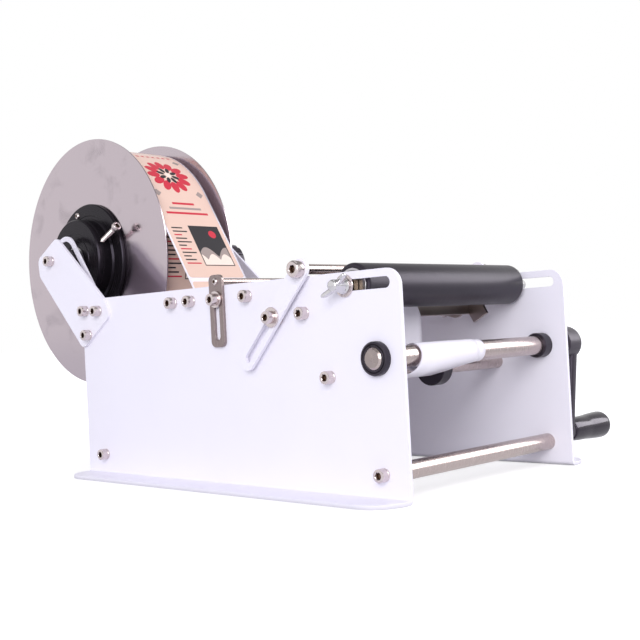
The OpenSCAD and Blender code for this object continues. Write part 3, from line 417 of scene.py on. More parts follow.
def wound_edge(tints, axis):
    """Edge of a paper roll: hundreds of turns pressed together, seen as fine rings."""
    made, tree, shader, coords = begin("wound_paper_edge")
    radius = from_axis(tree, coords, axis)
    # Turns are 0.15 mm apart; they are drawn 0.9 mm apart so that they show.
    rings = add(tree, "ShaderNodeTexNoise", {"W": radius, "Scale": per_mm(0.9), "Detail": 3.0},
                noise_dimensions="1D")
    tone = add(tree, "ShaderNodeMix", {"Factor": rings.outputs[0], 6: shade(tints.label, 0.62),
                                       7: tints.liner}, data_type="RGBA")
    bump = add(tree, "ShaderNodeBump", {"Height": rings.outputs[0], "Strength": 0.3, "Distance": 0.0004})
    wire(tree, shader, {"Roughness": 0.7, "Base Color": tone.outputs[2], "Normal": bump.outputs[0]})
    return made


FINISH = {}


def finishes():
    """All finishes by name, made once from the scene's colours."""
    if FINISH:
        return FINISH
    tints = bpy.context.scene.labeler_colours
    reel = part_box("label_roll")
    axis = (reel[0] + reel[1]) / 2
    FINISH.update(
        plate=powder_coat(tints), bar=ground_bar(tints), disc=mill_sheet(tints), strap=brushed_strap(tints),
        screw=plated("nickel_plated_steel", tints.screw, 0.14, 0.3), socket=socket_shade(tints),
        zinc=plated("bright_zinc_casting", tints.zinc, 0.12, 0.24, 5, 0.02), thread=thread_steel(tints),
        alloy=plated("turned_aluminium", tints.alloy, 0.28, 0.42),
        peel=plated("cold_rolled_sheet", tints.peel, 0.32, 0.4, 40, 0.01), face=turned_face(tints),
        hub=turned_black(tints, "turned_black_acetal", axis, shade(tints.black, 0.5), 0.2, 0.3, 1.4, 0.22),
        nylon=moulded_black(tints, "moulded_black_nylon", shade(tints.black, 1.3), 0.32, 0.46, 1.1),
        crank=moulded_black(tints, "glass_filled_nylon", shade(tints.black, 2.2), 0.3, 0.42, 0.9),
        grip=moulded_black(tints, "polished_phenolic", tints.black, 0.1, 0.18, 2.0),
        rubber=ground_rubber(tints), label=paper("coated_label_paper", tints.label, 14, 0.42),
        liner=paper("glassine_backing", tints.liner, 20, 0.48), edge=wound_edge(tints, axis),
        red=paper("red_ink_on_paper", tints.red, 3, 0.4),
        dark=paper("dark_ink_on_paper", tints.dark, 3, 0.4),
        grey=paper("grey_ink_on_paper", tints.grey, 3, 0.42),
        cream=paper("bare_paper_in_print", tints.cream, 3, 0.42),
        board=paper("wound_kraft_board", tints.board, 2, 0.75))
    return FINISH


def along_x(centre, side=1):
    """Local Z runs along the machine's width, outwards on that side, from a centre."""
    return Matrix.Translation(centre) @ Matrix.Rotation(side * math.pi / 2, 4, "Y")


def solids(node):
    """Boxes of a node's separate solids, from front to rear and from left to right."""
    bm = bmesh.new()
    bm.from_mesh(NODES[node].data)
    bmesh.ops.remove_doubles(bm, verts=bm.verts, dist=1e-6)
    waiting = set(bm.verts)
    boxes = []
    while waiting:
        stack = [waiting.pop()]
        group = []
        while stack:
            corner = stack.pop()
            group.append(tuple(corner.co))
            for edge in corner.link_edges:
                other = edge.other_vert(corner)
                if other in waiting:
                    waiting.remove(other)
                    stack.append(other)
        boxes.append((Vector(map(min, zip(*group))), Vector(map(max, zip(*group)))))
    bm.free()
    return sorted(boxes, key=lambda b: (round(b[0].y, 4), round(b[0].z, 4), b[0].x))


def turn(bm, profile, base, segments=64, material=0, start=0.0, stop=math.tau):
    """A turned surface about local Z. Each point is (radius, height), with a third value for a hexagon.
    A part of a turn is closed at both ends, from a profile that returns to its start.
    Sizes are in millimetres."""
    whole = stop - start > math.tau - 1e-6
    count = segments if whole else segments + 1
    rings = []
    for point in profile:
        r, h = point[0] * MM, point[1] * MM
        ring = []
        for k in range(count if r else 1):
            a = start + (stop - start) * k / segments
            reach = r / math.cos((a + math.pi / 6) % (math.pi / 3) - math.pi / 6) if len(point) > 2 else r
            ring.append(bm.verts.new(base @ Vector((reach * math.cos(a), reach * math.sin(a), h))))
        rings.append(ring)
    for low, high in zip(rings, rings[1:]):
        for k in range(segments):
            after = (k + 1) % count
            corners = [low[k % len(low)], low[after % len(low)], high[after % len(high)],
                       high[k % len(high)]]
            corners = list(dict.fromkeys(corners))
            if len(corners) > 2:
                face = bm.faces.new(corners)
                face.material_index = material
    if not whole:
        for k in (0, segments):
            bm.faces.new([ring[k] for ring in rings[1:]]).material_index = material


def skin(bm, rings, material=0):
    """Joins closed rings of equal count by faces and closes both ends."""
    for low, high in zip(rings, rings[1:]):
        for k in range(len(low)):
            n = (k + 1) % len(low)
            bm.faces.new((low[k], low[n], high[n], high[k])).material_index = material
    for ring in (rings[0], rings[-1]):
        bm.faces.new(ring).material_index = material


def thread(bm, d, pitch, low, high, base, material=0, segments=24):
    """A rolled thread about local Z between two heights, with flat ends. Sizes are in millimetres."""
    steps = max(2, round((high - low) / pitch * 6))
    depth = 0.6 * pitch
    rings = []
    for i in range(steps + 1):
        h = low + (high - low) * i / steps
        end = min(1.0, min(h - low, high - h) / (0.8 * pitch))
        ring = []
        for k in range(segments):
            a = math.tau * k / segments
            phase = (h / pitch - k / segments) % 1.0
            cut = depth * (1 - abs(2 * phase - 1)) * end + (1 - end) * depth * 0.8
            r = (d / 2 - cut) * MM
            ring.append(bm.verts.new(base @ Vector((r * math.cos(a), r * math.sin(a), h * MM))))
        rings.append(ring)
    skin(bm, rings, material)


def piece(name, bm, body, materials, replaces=(), crease=32.0, flat=False):
    """Turns a finished mesh into a piece that rides on a body and takes the place of solids.
    Flat keeps large faces even beside their rounded edges."""
    bmesh.ops.recalc_face_normals(bm, faces=bm.faces)
    for face in bm.faces:
        face.smooth = True
    mesh = bpy.data.meshes.new(name)
    bm.to_mesh(mesh)
    bm.free()
    for key in materials:
        mesh.materials.append(finishes()[key])
    mesh.set_sharp_from_angle(angle=math.radians(crease))
    made = bpy.data.objects.new(name, mesh)
    bpy.context.scene.collection.objects.link(made)
    if flat:
        made.modifiers.new("even_faces", "WEIGHTED_NORMAL").keep_sharp = True
    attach(made, body)
    if replaces:
        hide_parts(*replaces)
    return made


def thicken(made, thick, offset):
    """Gives a sheet of paper its thickness, from its face inwards at -1 and to both sides at 0."""
    shell = made.modifiers.new("paper", "SOLIDIFY")
    shell.thickness = thick
    shell.offset = offset


def dress(material, *nodes):
    """Gives solids that keep their shape their finish."""
    for node in nodes:
        slots = NODES[node].data.materials
        slots.clear()
        slots.append(finishes()[material])


def soften(node, width, segments=2):
    """A copy of a solid's mesh with its sharp edges rounded by a width in metres."""
    bm = bmesh.new()
    bm.from_mesh(NODES[node].data)
    bmesh.ops.remove_doubles(bm, verts=bm.verts, dist=1e-6)
    bmesh.ops.dissolve_limit(bm, angle_limit=math.radians(0.5), verts=bm.verts, edges=bm.edges)
    sharp = [e for e in bm.edges if e.is_manifold and e.calc_face_angle(0.0) > math.radians(35)]
    bmesh.ops.bevel(bm, geom=sharp, offset=width, offset_type="OFFSET", segments=segments, profile=0.5,
                    affect="EDGES", clamp_overlap=True)
    return bm


def cap_screw(bm, base, d, shank):
    """Socket head screw: its head stands on local Z = 0 and its shank points the other way."""
    head = 0.75 * d + 0.5
    key = 0.25 * d + 1.0
    turn(bm, [(0, -shank), (d / 2 - 0.6, -shank), (d / 2, 0.6 - shank), (d / 2, -0.2), (d / 2 + 0.3, 0),
              (head - 0.25, 0), (head, 0.3), (head, d - 0.75), (head - 0.25, d - 0.2), (head - 0.8, d),
              (key * 1.17, d), (key, d - 0.3, 6), (key, 0.76 * d, 6)], base, 48)
    # The socket's walls and bottom take the painted socket shade.
    turn(bm, [(key, 0.76 * d, 6), (key, 0.42 * d, 6), (0, 0.32 * d)], base, 48, material=1)


def lock_ring(bm, base, inner, outer, thick):
    """Split lock washer on local Z = 0, with its cut edges a little apart."""
    turn(bm, [(inner, 0), (outer - 0.2, 0), (outer, 0.2), (outer, thick - 0.2), (outer - 0.2, thick),
              (inner, thick), (inner, 0)], base, 48, start=math.radians(94), stop=math.radians(446))


def headed(node, head):
    """Seat, shank length and head radius of a node's screws, whose heads of that height stand outwards."""
    for low, high in solids(node):
        side = 1 if low.x > MIDDLE else -1
        outer = high.x if side > 0 else low.x
        seat = Vector((outer - side * head * MM, (low.y + high.y) / 2, (low.z + high.z) / 2))
        yield along_x(seat, side), (high.x - low.x) / MM - head, (high.z - low.z) / 2 / MM


def screws_on(bm, node, d):
    """Socket screws and lock washers in place of a node's solids, which lie along the machine's width."""
    for low, high in solids(node):
        side = 1 if (low.x + high.x) / 2 > MIDDLE else -1
        outer = high.x if side > 0 else low.x
        run = (high.x - low.x) / MM
        centre = Vector((outer, (low.y + high.y) / 2, (low.z + high.z) / 2))
        if run > d:
            cap_screw(bm, along_x(centre - Vector((side * d * MM, 0, 0)), side), d, run - d)
        else:
            lock_ring(bm, along_x(centre - Vector((side * run * MM, 0, 0)), side), d / 2 + 0.1,
                      (high.z - low.z) / 2 / MM, run)


class LABELER_OT_plates(bpy.types.Operator):
    """Rounds and coats the bent plates, the reel arms, the rest arms and the brake leaf"""
    bl_idname = "labeler.plates"
    bl_label = "Coated plates"

    def execute(self, context):
        edge = context.scene.labeler_sizes.edge
        for node, body in (("side_plate_left", "frame"), ("side_plate_right", "frame"),
                           ("reel_arm_left", "frame"), ("reel_arm_right", "frame"),
                           ("reel_brake_leaf", "frame"), ("rest_arm_left", "rest"),
                           ("rest_arm_right", "rest")):
            piece("coated_" + node, soften(node, edge), body, ["plate"], [node], 50, True)
        return {"FINISHED"}


class LABELER_OT_rods(bpy.types.Operator):
    """Finishes the cross rods, the shaft, the axles and the bare sheet metal"""
    bl_idname = "labeler.rods"
    bl_label = "Rods and sheet metal"

    def execute(self, context):
        sizes = context.scene.labeler_sizes
        dress("bar", "front_tie_rod", "rear_tie_rod", "paper_guide_rod", "feed_rods", "table_rods",
              "rest_rod", "hold_down_rod", "reel_axle", "grip_spindle")
        dress("alloy", "reel_mandrel", "reel_bearings", "roller_bearings")
        dress("peel", "peel_plate", "peel_cheeks")
        for node in ("hold_down_link_left", "hold_down_link_right"):
            piece("brushed_" + node, soften(node, sizes.strap_edge), "hold_down",
                  ["strap"], [node], 50, True)
        left, right = across_of("takeup_shaft")
        bm = bmesh.new()
        r = radius_of("takeup_shaft")
        run = right - left
        start = place(left, *side_view("takeup_shaft"))
        turn(bm, [(0, 0), (0.6, 0.15), (r - 1.4, 0)], along_x(start), 96, material=1)
        turn(bm, [(r - 1.4, 0), (r, 1.3), (r, run), (0, run)], along_x(start), 96)
        piece("ground_takeup_shaft", bm, "crank_shaft", ["bar", "face"], ["takeup_shaft"])
        return {"FINISHED"}


class LABELER_OT_screws(bpy.types.Operator):
    """Builds the socket screws, nuts and washers"""
    bl_idname = "labeler.screws"
    bl_label = "Screws, nuts and washers"

    def execute(self, context):
        sizes = context.scene.labeler_sizes
        for node, body, d in (("frame_screws", "frame", 6), ("reel_arm_screws", "frame", 6),
                              ("axle_screw", "frame", 6), ("rest_clamp_screws", "rest_pivot", 6),
                              ("hold_down_clamps", "frame", 6)):
            bm = bmesh.new()
            screws_on(bm, node, d)
            piece("cap_" + node, bm, body, ["screw", "socket"], [node])
        bm = bmesh.new()
        head, key = 8.0, 2.9
        for base, shank, r in headed("rest_bolts", head):
            turn(bm, [(0, -shank), (2, -shank), (2, -3), (3, -3), (3, 0), (r - 0.3, 0), (r, 0.4),
                      (r, head - 1.2), (r - 0.4, head - 0.5), (r - 1.2, head), (key + 0.6, head),
                      (key, head - 0.4, 6), (key, head - 1.8, 6)], base, 60)
            # The socket's walls and bottom take the painted socket shade.
            turn(bm, [(key, head - 1.8, 6), (key, head / 2, 6), (0, 0.4 * head)], base, 60, material=1)
        piece("rest_shoulder_bolts", bm, "rest", ["screw", "socket"], ["rest_bolts"])
        bm = bmesh.new()
        head = 1.6
        for base, shank, _ in headed("hold_down_screws", head):
            turn(bm, [(0, -shank), (2, -shank), (2, 0), (3, 0), (2.9, 0.7), (2.3, 1.3), (1.6, head),
                      (1.5, head)], base, 36)
            # The socket's walls and bottom take the painted socket shade.
            turn(bm, [(1.5, head), (1.0, head - 0.3, 6), (1.0, 0.5, 6), (0, 0.3)], base, 36, material=1)
        piece("button_hold_down_screws", bm, "hold_down", ["screw", "socket"],
              ["hold_down_screws"])
        inside_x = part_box("front_tie_rod")[1].x - MIDDLE
        for node, body in (("frame_nuts_washers", "frame"), ("rest_clamp_washers", "rest_pivot"),
                           ("roller_lock_nuts", "roller_carriage")):
            bm = soften(node, sizes.strap_edge)
            # Faces of the roller's lock nuts that lie between the plates take the darker, browner thread
            # finish.
            for face in bm.faces:
                inside = abs(face.calc_center_median().x - MIDDLE) < inside_x
                face.material_index = int(inside and node == "roller_lock_nuts")
            piece("chamfered_" + node, bm, body, ["screw", "thread"], [node], 50, True)
        dress("screw", "crank_set_screw")
        return {"FINISHED"}


class LABELER_OT_roller(bpy.types.Operator):
    """Builds the rubber roller, its threaded axle and the two wing nuts"""
    bl_idname = "labeler.roller"
    bl_label = "Roller and wing nuts"

    def execute(self, context):
        sizes = context.scene.labeler_sizes
        y, z = side_view("roller_sleeve")
        low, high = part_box("roller_sleeve")
        half = (high.x - low.x) / 2 / MM
        r = (high.z - low.z) / 2 / MM
        inner = radius_of("roller_tube")
        centre = place(0, y, z)
        bm = bmesh.new()
        rim = [(r - 2.4 + 2.4 * math.sin(a), half - 2.4 + 2.4 * math.cos(a))
               for a in (math.radians(15 * i) for i in range(7))]
        end = [(inner + 0.05, half)] + rim
        outline = end + [(p[0], -p[1]) for p in reversed(end)]
        turn(bm, outline + outline[:1], along_x(centre), 128)
        piece("rubber_sleeve", bm, "roller", ["rubber"], ["roller_sleeve"])
        bm = bmesh.new()
        seat = 11.05
        end = [(seat, half - 7), (seat, half - 0.4), (seat + 0.4, half), (inner - 0.5, half),
               (inner, half - 0.5)]
        profile = end + [(p[0], -p[1]) for p in reversed(end)]
        turn(bm, profile + profile[:1], along_x(centre), 96)
        piece("turned_roller_tube", bm, "roller", ["alloy"], ["roller_tube"])
        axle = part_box("roller_axle")
        reach = (axle[1].x - axle[0].x) / 2 / MM
        d = (axle[1].z - axle[0].z) / MM
        bm = bmesh.new()
        turn(bm, [(0, -half + 3), (d / 2 - 0.4, -half + 3), (d / 2 - 0.4, half - 3), (0, half - 3)],
             along_x(centre), 32)
        for side in (1, -1):
            thread(bm, d, sizes.axle_pitch / MM, half - 3, reach, along_x(centre, side))
        piece("threaded_roller_axle", bm, "roller_carriage", ["thread"], ["roller_axle"],
              crease=50)
        for side, node, body, lean in ((-1, "wing_nut_left", "left_wing_nut", 33.0),
                                       (1, "wing_nut_right", "right_wing_nut", 75.0)):
            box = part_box(node)
            foot = box[0].x if side > 0 else box[1].x
            base = along_x(Vector((foot, centre.y, centre.z)), side)
            bm = bmesh.new()
            turn(bm, [(4.1, 0), (6.0, 0), (6.4, 0.4), (6.4, 1.1), (6.0, 1.5), (5.2, 2.4), (4.8, 7.0),
                      (4.5, 11.8), (4.1, 12.7), (3.0, 13.2), (0, 13.5)], base, 64)
            for flip in (0, 180):
                self.wing(bm, base @ Matrix.Rotation(math.radians(flip + 90 + lean), 4, "Z"))
            piece("cast_" + node, bm, body, ["zinc"], [node], crease=60)
        return {"FINISHED"}

    def wing(self, bm, base):
        """One wing: a slab that leaves the hub, leans outwards and ends in a round tip."""
        steps, around = 14, 24
        rings = []
        for i in range(steps + 1):
            t = i / steps
            round_off = math.sqrt(max(0.0, 1 - max(0.0, (t - 0.75) / 0.25) ** 2))
            wide = (2.9 - 0.3 * t) * (0.3 + 0.7 * round_off)
            thick = (1.9 - 0.4 * t) * (0.2 + 0.8 * round_off)
            ring = []
            for k in range(around):
                a = math.tau * k / around
                c, v = math.cos(a), math.sin(a)
                across = wide * math.copysign(abs(c) ** 0.5, c)
                point = Vector((3.2 + 11.0 * t, thick * math.copysign(abs(v) ** 0.5, v),
                                6.4 + 4.4 * t + across))
                ring.append(bm.verts.new(base @ (MM * point)))
            rings.append(ring)
        skin(bm, rings)


class LABELER_OT_crank(bpy.types.Operator):
    """Builds the shaft bushes, the collars, the crank and its grip"""
    bl_idname = "labeler.crank"
    bl_label = "Crank, bushes and collars"

    def execute(self, context):
        y, z = side_view("takeup_shaft")
        bm = bmesh.new()
        for low, high in solids("shaft_bushes"):
            side = 1 if low.x > MIDDLE else -1
            outer = high.x if side > 0 else low.x
            run = (high.x - low.x) / MM
            base = along_x(Vector((outer, FRONT + y * MM, z * MM)), side)
            flange = (high.z - low.z) / 2 / MM
            turn(bm, [(8.05, -1.2), (9.9, -1.2), (10.3, -0.8), (10.7, -0.1), (11.3, 0), (flange - 1.2, 0),
                      (flange - 0.3, -0.4), (flange, -1.3), (flange, -5.0), (10.5, -5.0), (10.5, 0.5 - run),
                      (10.0, -run), (8.05, -run), (8.05, -1.2)], base, 96)
            turn(bm, [(8.1, -1.2), (9.6, -1.2), (9.6, -0.2), (9.3, 0), (8.4, 0), (8.1, -0.2), (8.1, -1.2)],
                 base, 72, start=math.radians(20), stop=math.radians(355))
        piece("moulded_shaft_bushes", bm, "frame", ["nylon"], ["shaft_bushes"])
        for node, body in (("shaft_collar", "crank_shaft"), ("paper_collar_left", "left_paper_collar"),
                           ("paper_collar_right", "right_paper_collar"), ("axle_collars", "frame")):
            piece("turned_" + node, soften(node, 0.0007, 3), body, ["nylon"], [node], 50, True)
        self.crank(y, z)
        self.grip()
        return {"FINISHED"}

    def crank(self, y, z):
        """Domed hub and an arm that tapers and leans inwards to a round foot."""
        low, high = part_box("crank_arm")
        hub_r = (high.y - low.y) / 2 / MM
        inner_x, end_x = (low.x - MIDDLE) / MM, (high.x - MIDDLE) / MM
        grip_y, grip_z = side_view("crank_grip")
        face_x = (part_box("crank_grip")[0].x - MIDDLE) / MM - 0.3
        bm = bmesh.new()
        run = end_x - inner_x
        dome = [(hub_r * math.cos(a), run - 12 + 12 * math.sin(a))
                for a in (math.radians(9 * i) for i in range(10))]
        turn(bm, [(8.05, 0), (hub_r - 0.8, 0), (hub_r, 0.8)] + dome + [(0, run)],
             along_x(place(inner_x, y, z)), 96)
        rows = []
        steps, around = 24, 32
        for i in range(steps + 1):
            t = i / steps
            mid_z = z - 2 + (grip_z - z + 2) * t
            mid_x = end_x - 14.5 + (face_x - 5.5 - end_x + 14.5) * t
            wide = 12.4 + (9.0 - 12.4) * t
            thick = 5.5 * (1 - 0.04 * math.sin(math.pi * t))
            rows.append((mid_x, mid_z, wide, thick))
        rings = []
        for mid_x, mid_z, wide, thick in rows:
            ring = []
            for k in range(around):
                a = math.tau * k / around
                c, s = math.cos(a), math.sin(a)
                ring.append(bm.verts.new(place(mid_x + thick * math.copysign(abs(c) ** 0.55, c),
                                               y + wide * math.copysign(abs(s) ** 0.7, s), mid_z)))
            rings.append(ring)
        skin(bm, rings)
        foot = along_x(place(face_x - 11, grip_y, grip_z))
        turn(bm, [(4.05, 0.0), (7.6, 0.0), (8.7, 0.6), (9.0, 1.6), (9.0, 9.6), (8.6, 10.6), (7.6, 11.0),
                  (4.05, 11.0), (4.05, 0.0)], foot, 64)
        piece("moulded_crank", bm, "crank_shaft", ["crank"], ["crank_arm"], crease=40)

    def grip(self):
        """Waisted grip with a rounded end and a parting groove at its neck."""
        low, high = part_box("crank_grip")
        y, z = side_view("crank_grip")
        r = (high.z - low.z) / 2 / MM
        run = (high.x - low.x) / MM
        bm = bmesh.new()
        profile = [(4.1, 0), (r - 3.4, 0), (r - 2.7, 0.4), (r - 2.4, 1.2)]
        profile += [(r - 2.4 + 0.7 * math.sin(math.pi * min(1.0, 2 * t)) * (1 - t)
                     + 2.35 * t * t * (3 - 2 * t), 1.2 + (run - 8.2) * t)
                    for t in (i / 20 for i in range(1, 21))]
        profile += [(r - 6.2 + 6.2 * math.cos(a), run - 6.8 + 6.8 * math.sin(a))
                    for a in (math.radians(10 * i) for i in range(1, 10))]
        profile += [(0, run)]
        turn(bm, profile, along_x(Vector((low.x, FRONT + y * MM, z * MM))), 96)
        piece("phenolic_grip", bm, "grip", ["grip"], ["crank_grip"], crease=50)


class LABELER_OT_reel(bpy.types.Operator):
    """Builds the reel's discs, hubs, lock screw and hand knob"""
    bl_idname = "labeler.reel"
    bl_label = "Reel"

    def execute(self, context):
        sizes = context.scene.labeler_sizes
        y, z = side_view("label_roll")
        for node, body in (("reel_disc_left", "reel_left_flange"), ("reel_disc_right", "reel")):
            piece("rolled_" + node, soften(node, 0.00025), body, ["disc"], [node], 50, True)
        for side, tag, body in ((-1, "left", "reel_left_flange"), (1, "right", "reel")):
            low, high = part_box("reel_hub_" + tag)
            inner = high.x if side < 0 else low.x
            outer = (high.x - low.x) / MM
            base = along_x(Vector((inner, FRONT + y * MM, z * MM)), side)
            bm = bmesh.new()
            bore, spigot, rim, boss = 15.05, 37.8, 59.0, 42.5
            seat, face = 12.2, outer - 16.5
            turn(bm, [(bore, 0), (spigot - 1.0, 0), (spigot, 1.0), (spigot, seat), (rim - 0.6, seat),
                      (rim, seat + 0.5), (rim, face - 1.0), (rim - 1.0, face), (boss + 4.7, face),
                      (boss + 4.3, face - 0.5), (boss + 1.7, face - 0.5), (boss + 0.9, face + 0.2),
                      (boss, face + 1.2), (boss, outer - 6.2), (boss - 0.5, outer - 5.9),
                      (boss - 0.5, outer - 5.1), (boss, outer - 4.8), (boss, outer - 1.4),
                      (boss - 1.3, outer), (28.4, outer), (27.8, outer - 0.6), (24.6, outer - 0.6),
                      (24.0, outer), (bore + 1.15, outer), (bore, outer - 1.0), (bore, 0)], base, 160)
            piece("turned_reel_hub_" + tag, bm, body, ["hub"], ["reel_hub_" + tag])
            bm = bmesh.new()
            for s_low, s_high in solids("reel_hub_screws_" + tag):
                out = s_high.x if side > 0 else s_low.x
                centre = Vector((out - side * 2 * MM, (s_low.y + s_high.y) / 2, (s_low.z + s_high.z) / 2))
                turn(bm, [(0, -5.2), (2, -5.2), (2, 0), (3.4, 0), (3.35, 0.5), (2.9, 1.3), (2.1, 1.85),
                          (1.6, 2.0)], along_x(centre, side), 36)
                # The socket's walls and bottom take the painted socket shade.
                turn(bm, [(1.6, 2.0), (1.15, 1.7, 6), (1.15, 0.6, 6), (0, 0.4)], along_x(centre, side), 36,
                     material=1)
            piece("button_reel_hub_screws_" + tag, bm, body, ["screw", "socket"],
                  ["reel_hub_screws_" + tag])
        low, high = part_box("reel_lock_screw")
        lock_x = (low.x + high.x) / 2
        lean = Matrix.Rotation(math.radians(155) - math.pi / 2, 4, "X")
        base = Matrix.Translation((lock_x, FRONT + y * MM, z * MM)) @ lean
        bm = bmesh.new()
        thread(bm, 5, sizes.lock_pitch / MM, 15.4, 64.0, base, material=0)
        turn(bm, [(0, 63.6), (2.4, 63.6), (2.4, 66.4), (4.0, 66.5), (4.25, 66.9), (4.25, 70.7), (4.0, 71.2),
                  (3.5, 71.5), (2.5, 71.5), (2.1, 71.2, 6), (2.1, 70.2, 6)], base, 48)
        # The socket's walls and bottom take the painted socket shade.
        turn(bm, [(2.1, 70.2, 6), (2.1, 68.6, 6), (0, 68.0)], base, 48, material=1)
        piece("threaded_lock_screw", bm, "lock_screw", ["screw", "socket"],
              ["reel_lock_screw"], crease=50)
        piece("moulded_axle_knob", soften("axle_knob", 0.001, 3), "knob", ["nylon"],
              ["axle_knob"], 50, True)
        return {"FINISHED"}


# The peel nose in the side view, the radii that the paper runs round and its play there, in millimetres
NOSE = (88.0, 152.0)
NOSE_R = 2.5
ROD_R = 6.0
PAPER_GAP = 0.3


class Path:
    """A line in the side view, in millimetres, with its printed side to the right of its run."""

    def __init__(self, points):
        self.points = points
        self.runs = [0.0]
        for a, b in zip(points, points[1:]):
            self.runs.append(self.runs[-1] + math.dist(a, b))
        self.length = self.runs[-1]

    def at(self, run):
        """Point and printed-side direction at a run from the start."""
        i = 0
        while i < len(self.runs) - 2 and self.runs[i + 1] < run:
            i += 1
        a, b = self.points[i], self.points[i + 1]
        span = self.runs[i + 1] - self.runs[i]
        t = (run - self.runs[i]) / span
        before = self.points[i - 1] if i else a
        after = self.points[i + 2] if i + 2 < len(self.points) else b
        d0 = (b[0] - before[0], b[1] - before[1])
        d1 = (after[0] - a[0], after[1] - a[1])
        d = tuple(p / math.hypot(*d0) * (1 - t) + q / math.hypot(*d1) * t for p, q in zip(d0, d1))
        norm = math.hypot(*d)
        return (a[0] + (b[0] - a[0]) * t, a[1] + (b[1] - a[1]) * t), (d[1] / norm, -d[0] / norm)


class Drum:
    """The roll's outer turn, as a path that starts at an angle and runs against the clock."""

    def __init__(self, centre, radius, start):
        self.centre = centre
        self.radius = radius
        self.start = start
        self.length = math.tau * radius

    def at(self, run):
        """Point and outward direction at a run from the start."""
        a = self.start + run / self.radius
        n = (math.cos(a), math.sin(a))
        return (self.centre[0] + self.radius * n[0], self.centre[1] + self.radius * n[1]), n


def arc(centre, radius, start, stop, steps):
    """Points on an arc in the side view, with angles in degrees."""
    angles = (math.radians(start + (stop - start) * i / steps) for i in range(steps + 1))
    return [(centre[0] + radius * math.cos(a), centre[1] + radius * math.sin(a)) for a in angles]


def on_path(path, run, across, lift):
    """A point that many millimetres along, across and above a path."""
    (y, z), n = path.at(run)
    return place(across, y + n[0] * lift, z + n[1] * lift)


def patch(bm, path, run, across, lift, material, corner=0.0, step=4.0):
    """A sheet on a path between two runs and two places across, with rounded corners."""
    count = max(1, math.ceil((run[1] - run[0]) / step))
    stops = [run[0] + (run[1] - run[0]) * i / count for i in range(count + 1)]
    if corner:
        nips = [corner * (1 - math.cos(math.radians(a))) for a in (0, 30, 60, 90)]
        stops = sorted(set([run[0] + n for n in nips] + [run[1] - n for n in nips]
                           + [s for s in stops if run[0] + corner < s < run[1] - corner]))
    last = None
    for s in stops:
        near = min(s - run[0], run[1] - s)
        inset = corner - math.sqrt(max(0.0, corner ** 2 - (corner - near) ** 2)) if near < corner else 0.0
        row = [bm.verts.new(on_path(path, s, a, lift))
               for a in (across[0] + inset, (2 * across[0] + across[1]) / 3,
                         (across[0] + 2 * across[1]) / 3, across[1] - inset)]
        if last:
            for k in range(3):
                bm.faces.new((last[k], last[k + 1], row[k + 1], row[k])).material_index = material
        last = row


def spot(bm, path, outline, lift, material):
    """A small flat print on a path, from its outline as (across, run) points round its middle."""
    mid = (sum(p[0] for p in outline) / len(outline), sum(p[1] for p in outline) / len(outline))
    centre = bm.verts.new(on_path(path, mid[1], mid[0], lift))
    half = [bm.verts.new(on_path(path, (p[1] + mid[1]) / 2, (p[0] + mid[0]) / 2, lift)) for p in outline]
    rim = [bm.verts.new(on_path(path, p[1], p[0], lift)) for p in outline]
    for k in range(len(outline)):
        n = (k + 1) % len(outline)
        bm.faces.new((centre, half[k], half[n])).material_index = material
        bm.faces.new((half[k], rim[k], rim[n], half[n])).material_index = material


def petal(centre, reach, wide, angle, start):
    """Outline of one petal that points away from a centre."""
    points = []
    for i in range(12):
        a = math.tau * i / 12
        along_it = start + (reach - start) * (1 + math.cos(a)) / 2
        side = wide / 2 * math.sin(a)
        points.append((centre[0] + along_it * math.cos(angle) - side * math.sin(angle),
                       centre[1] + along_it * math.sin(angle) + side * math.cos(angle)))
    return points


LABEL_MATERIALS = ["label", "red", "dark", "grey", "cream"]


def ring_of(centre, radius, count):
    """Points round a circle."""
    return [(centre[0] + radius * math.cos(math.tau * i / count),
             centre[1] + radius * math.sin(math.tau * i / count)) for i in range(count)]


def print_label(bm, path, run, length_mm, lane):
    """One label: a hill picture beside ruled lines, bars, a rosette and a row of squares.
    Places in the print are millimetres from the label's left edge and back from its far end."""
    left = lane[0]
    far_end = run + length_mm

    def rect(u0, u1, v0, v1, material):
        patch(bm, path, (far_end - v1, far_end - v0), (left + u0, left + u1), 0.18, material)

    def shape(points, material, lift=0.18):
        spot(bm, path, [(left + u, far_end - v) for u, v in points], lift, material)

    patch(bm, path, (run, far_end), lane, 0.14, 0, corner=3.0)
    rect(26, 63, 14, 62, 2)
    for base, high, waves, phase, material in ((15, 21, 1.4, 0.5, 3), (15, 13, 2.3, 1.9, 4)):
        ridge = [(27 + 35 * t, base + high * (0.45 + 0.55 * abs(math.sin(waves * math.pi * t + phase))))
                 for t in (i / 18 for i in range(19))]
        for (u0, v0), (u1, v1) in zip(ridge, ridge[1:]):
            shape([(u0, base), (u1, base), (u1, v1), (u0, v0)], material, 0.2 + 0.01 * (material == 4))
    shape(ring_of((52, 52), 4.5, 20), 1, 0.2)
    for i in range(11):
        rect(5, 22 - 4 * (i % 3), 16 + 4.2 * i, 17.5 + 4.2 * i, 1 if i % 4 == 0 else 2)
    for i in range(3):
        rect(8 + 6 * i, 59 - 6 * i, 76 + 6 * i, 78.6 + 6 * i, 3 if i == 1 else 1)
    mid = (34, 128)
    for ring, (reach, start, count, material) in enumerate(((25, 10, 12, 1), (12.5, 4, 8, 2))):
        for i in range(count):
            shape(petal(mid, reach, reach * 0.36, math.tau * (i + 0.5 * ring) / count, start), material,
                  0.18 + 0.02 * ring)
    shape(ring_of(mid, 3.6, 16), 4, 0.22)
    for u, v in ((8, 102), (60, 102), (8, 154), (60, 154)):
        shape(ring_of((u, v), 4.4, 4), 3)
    for i in range(9):
        rect(6 + 6.4 * i, 9.4 + 6.4 * i, 165, 168.4, 1)


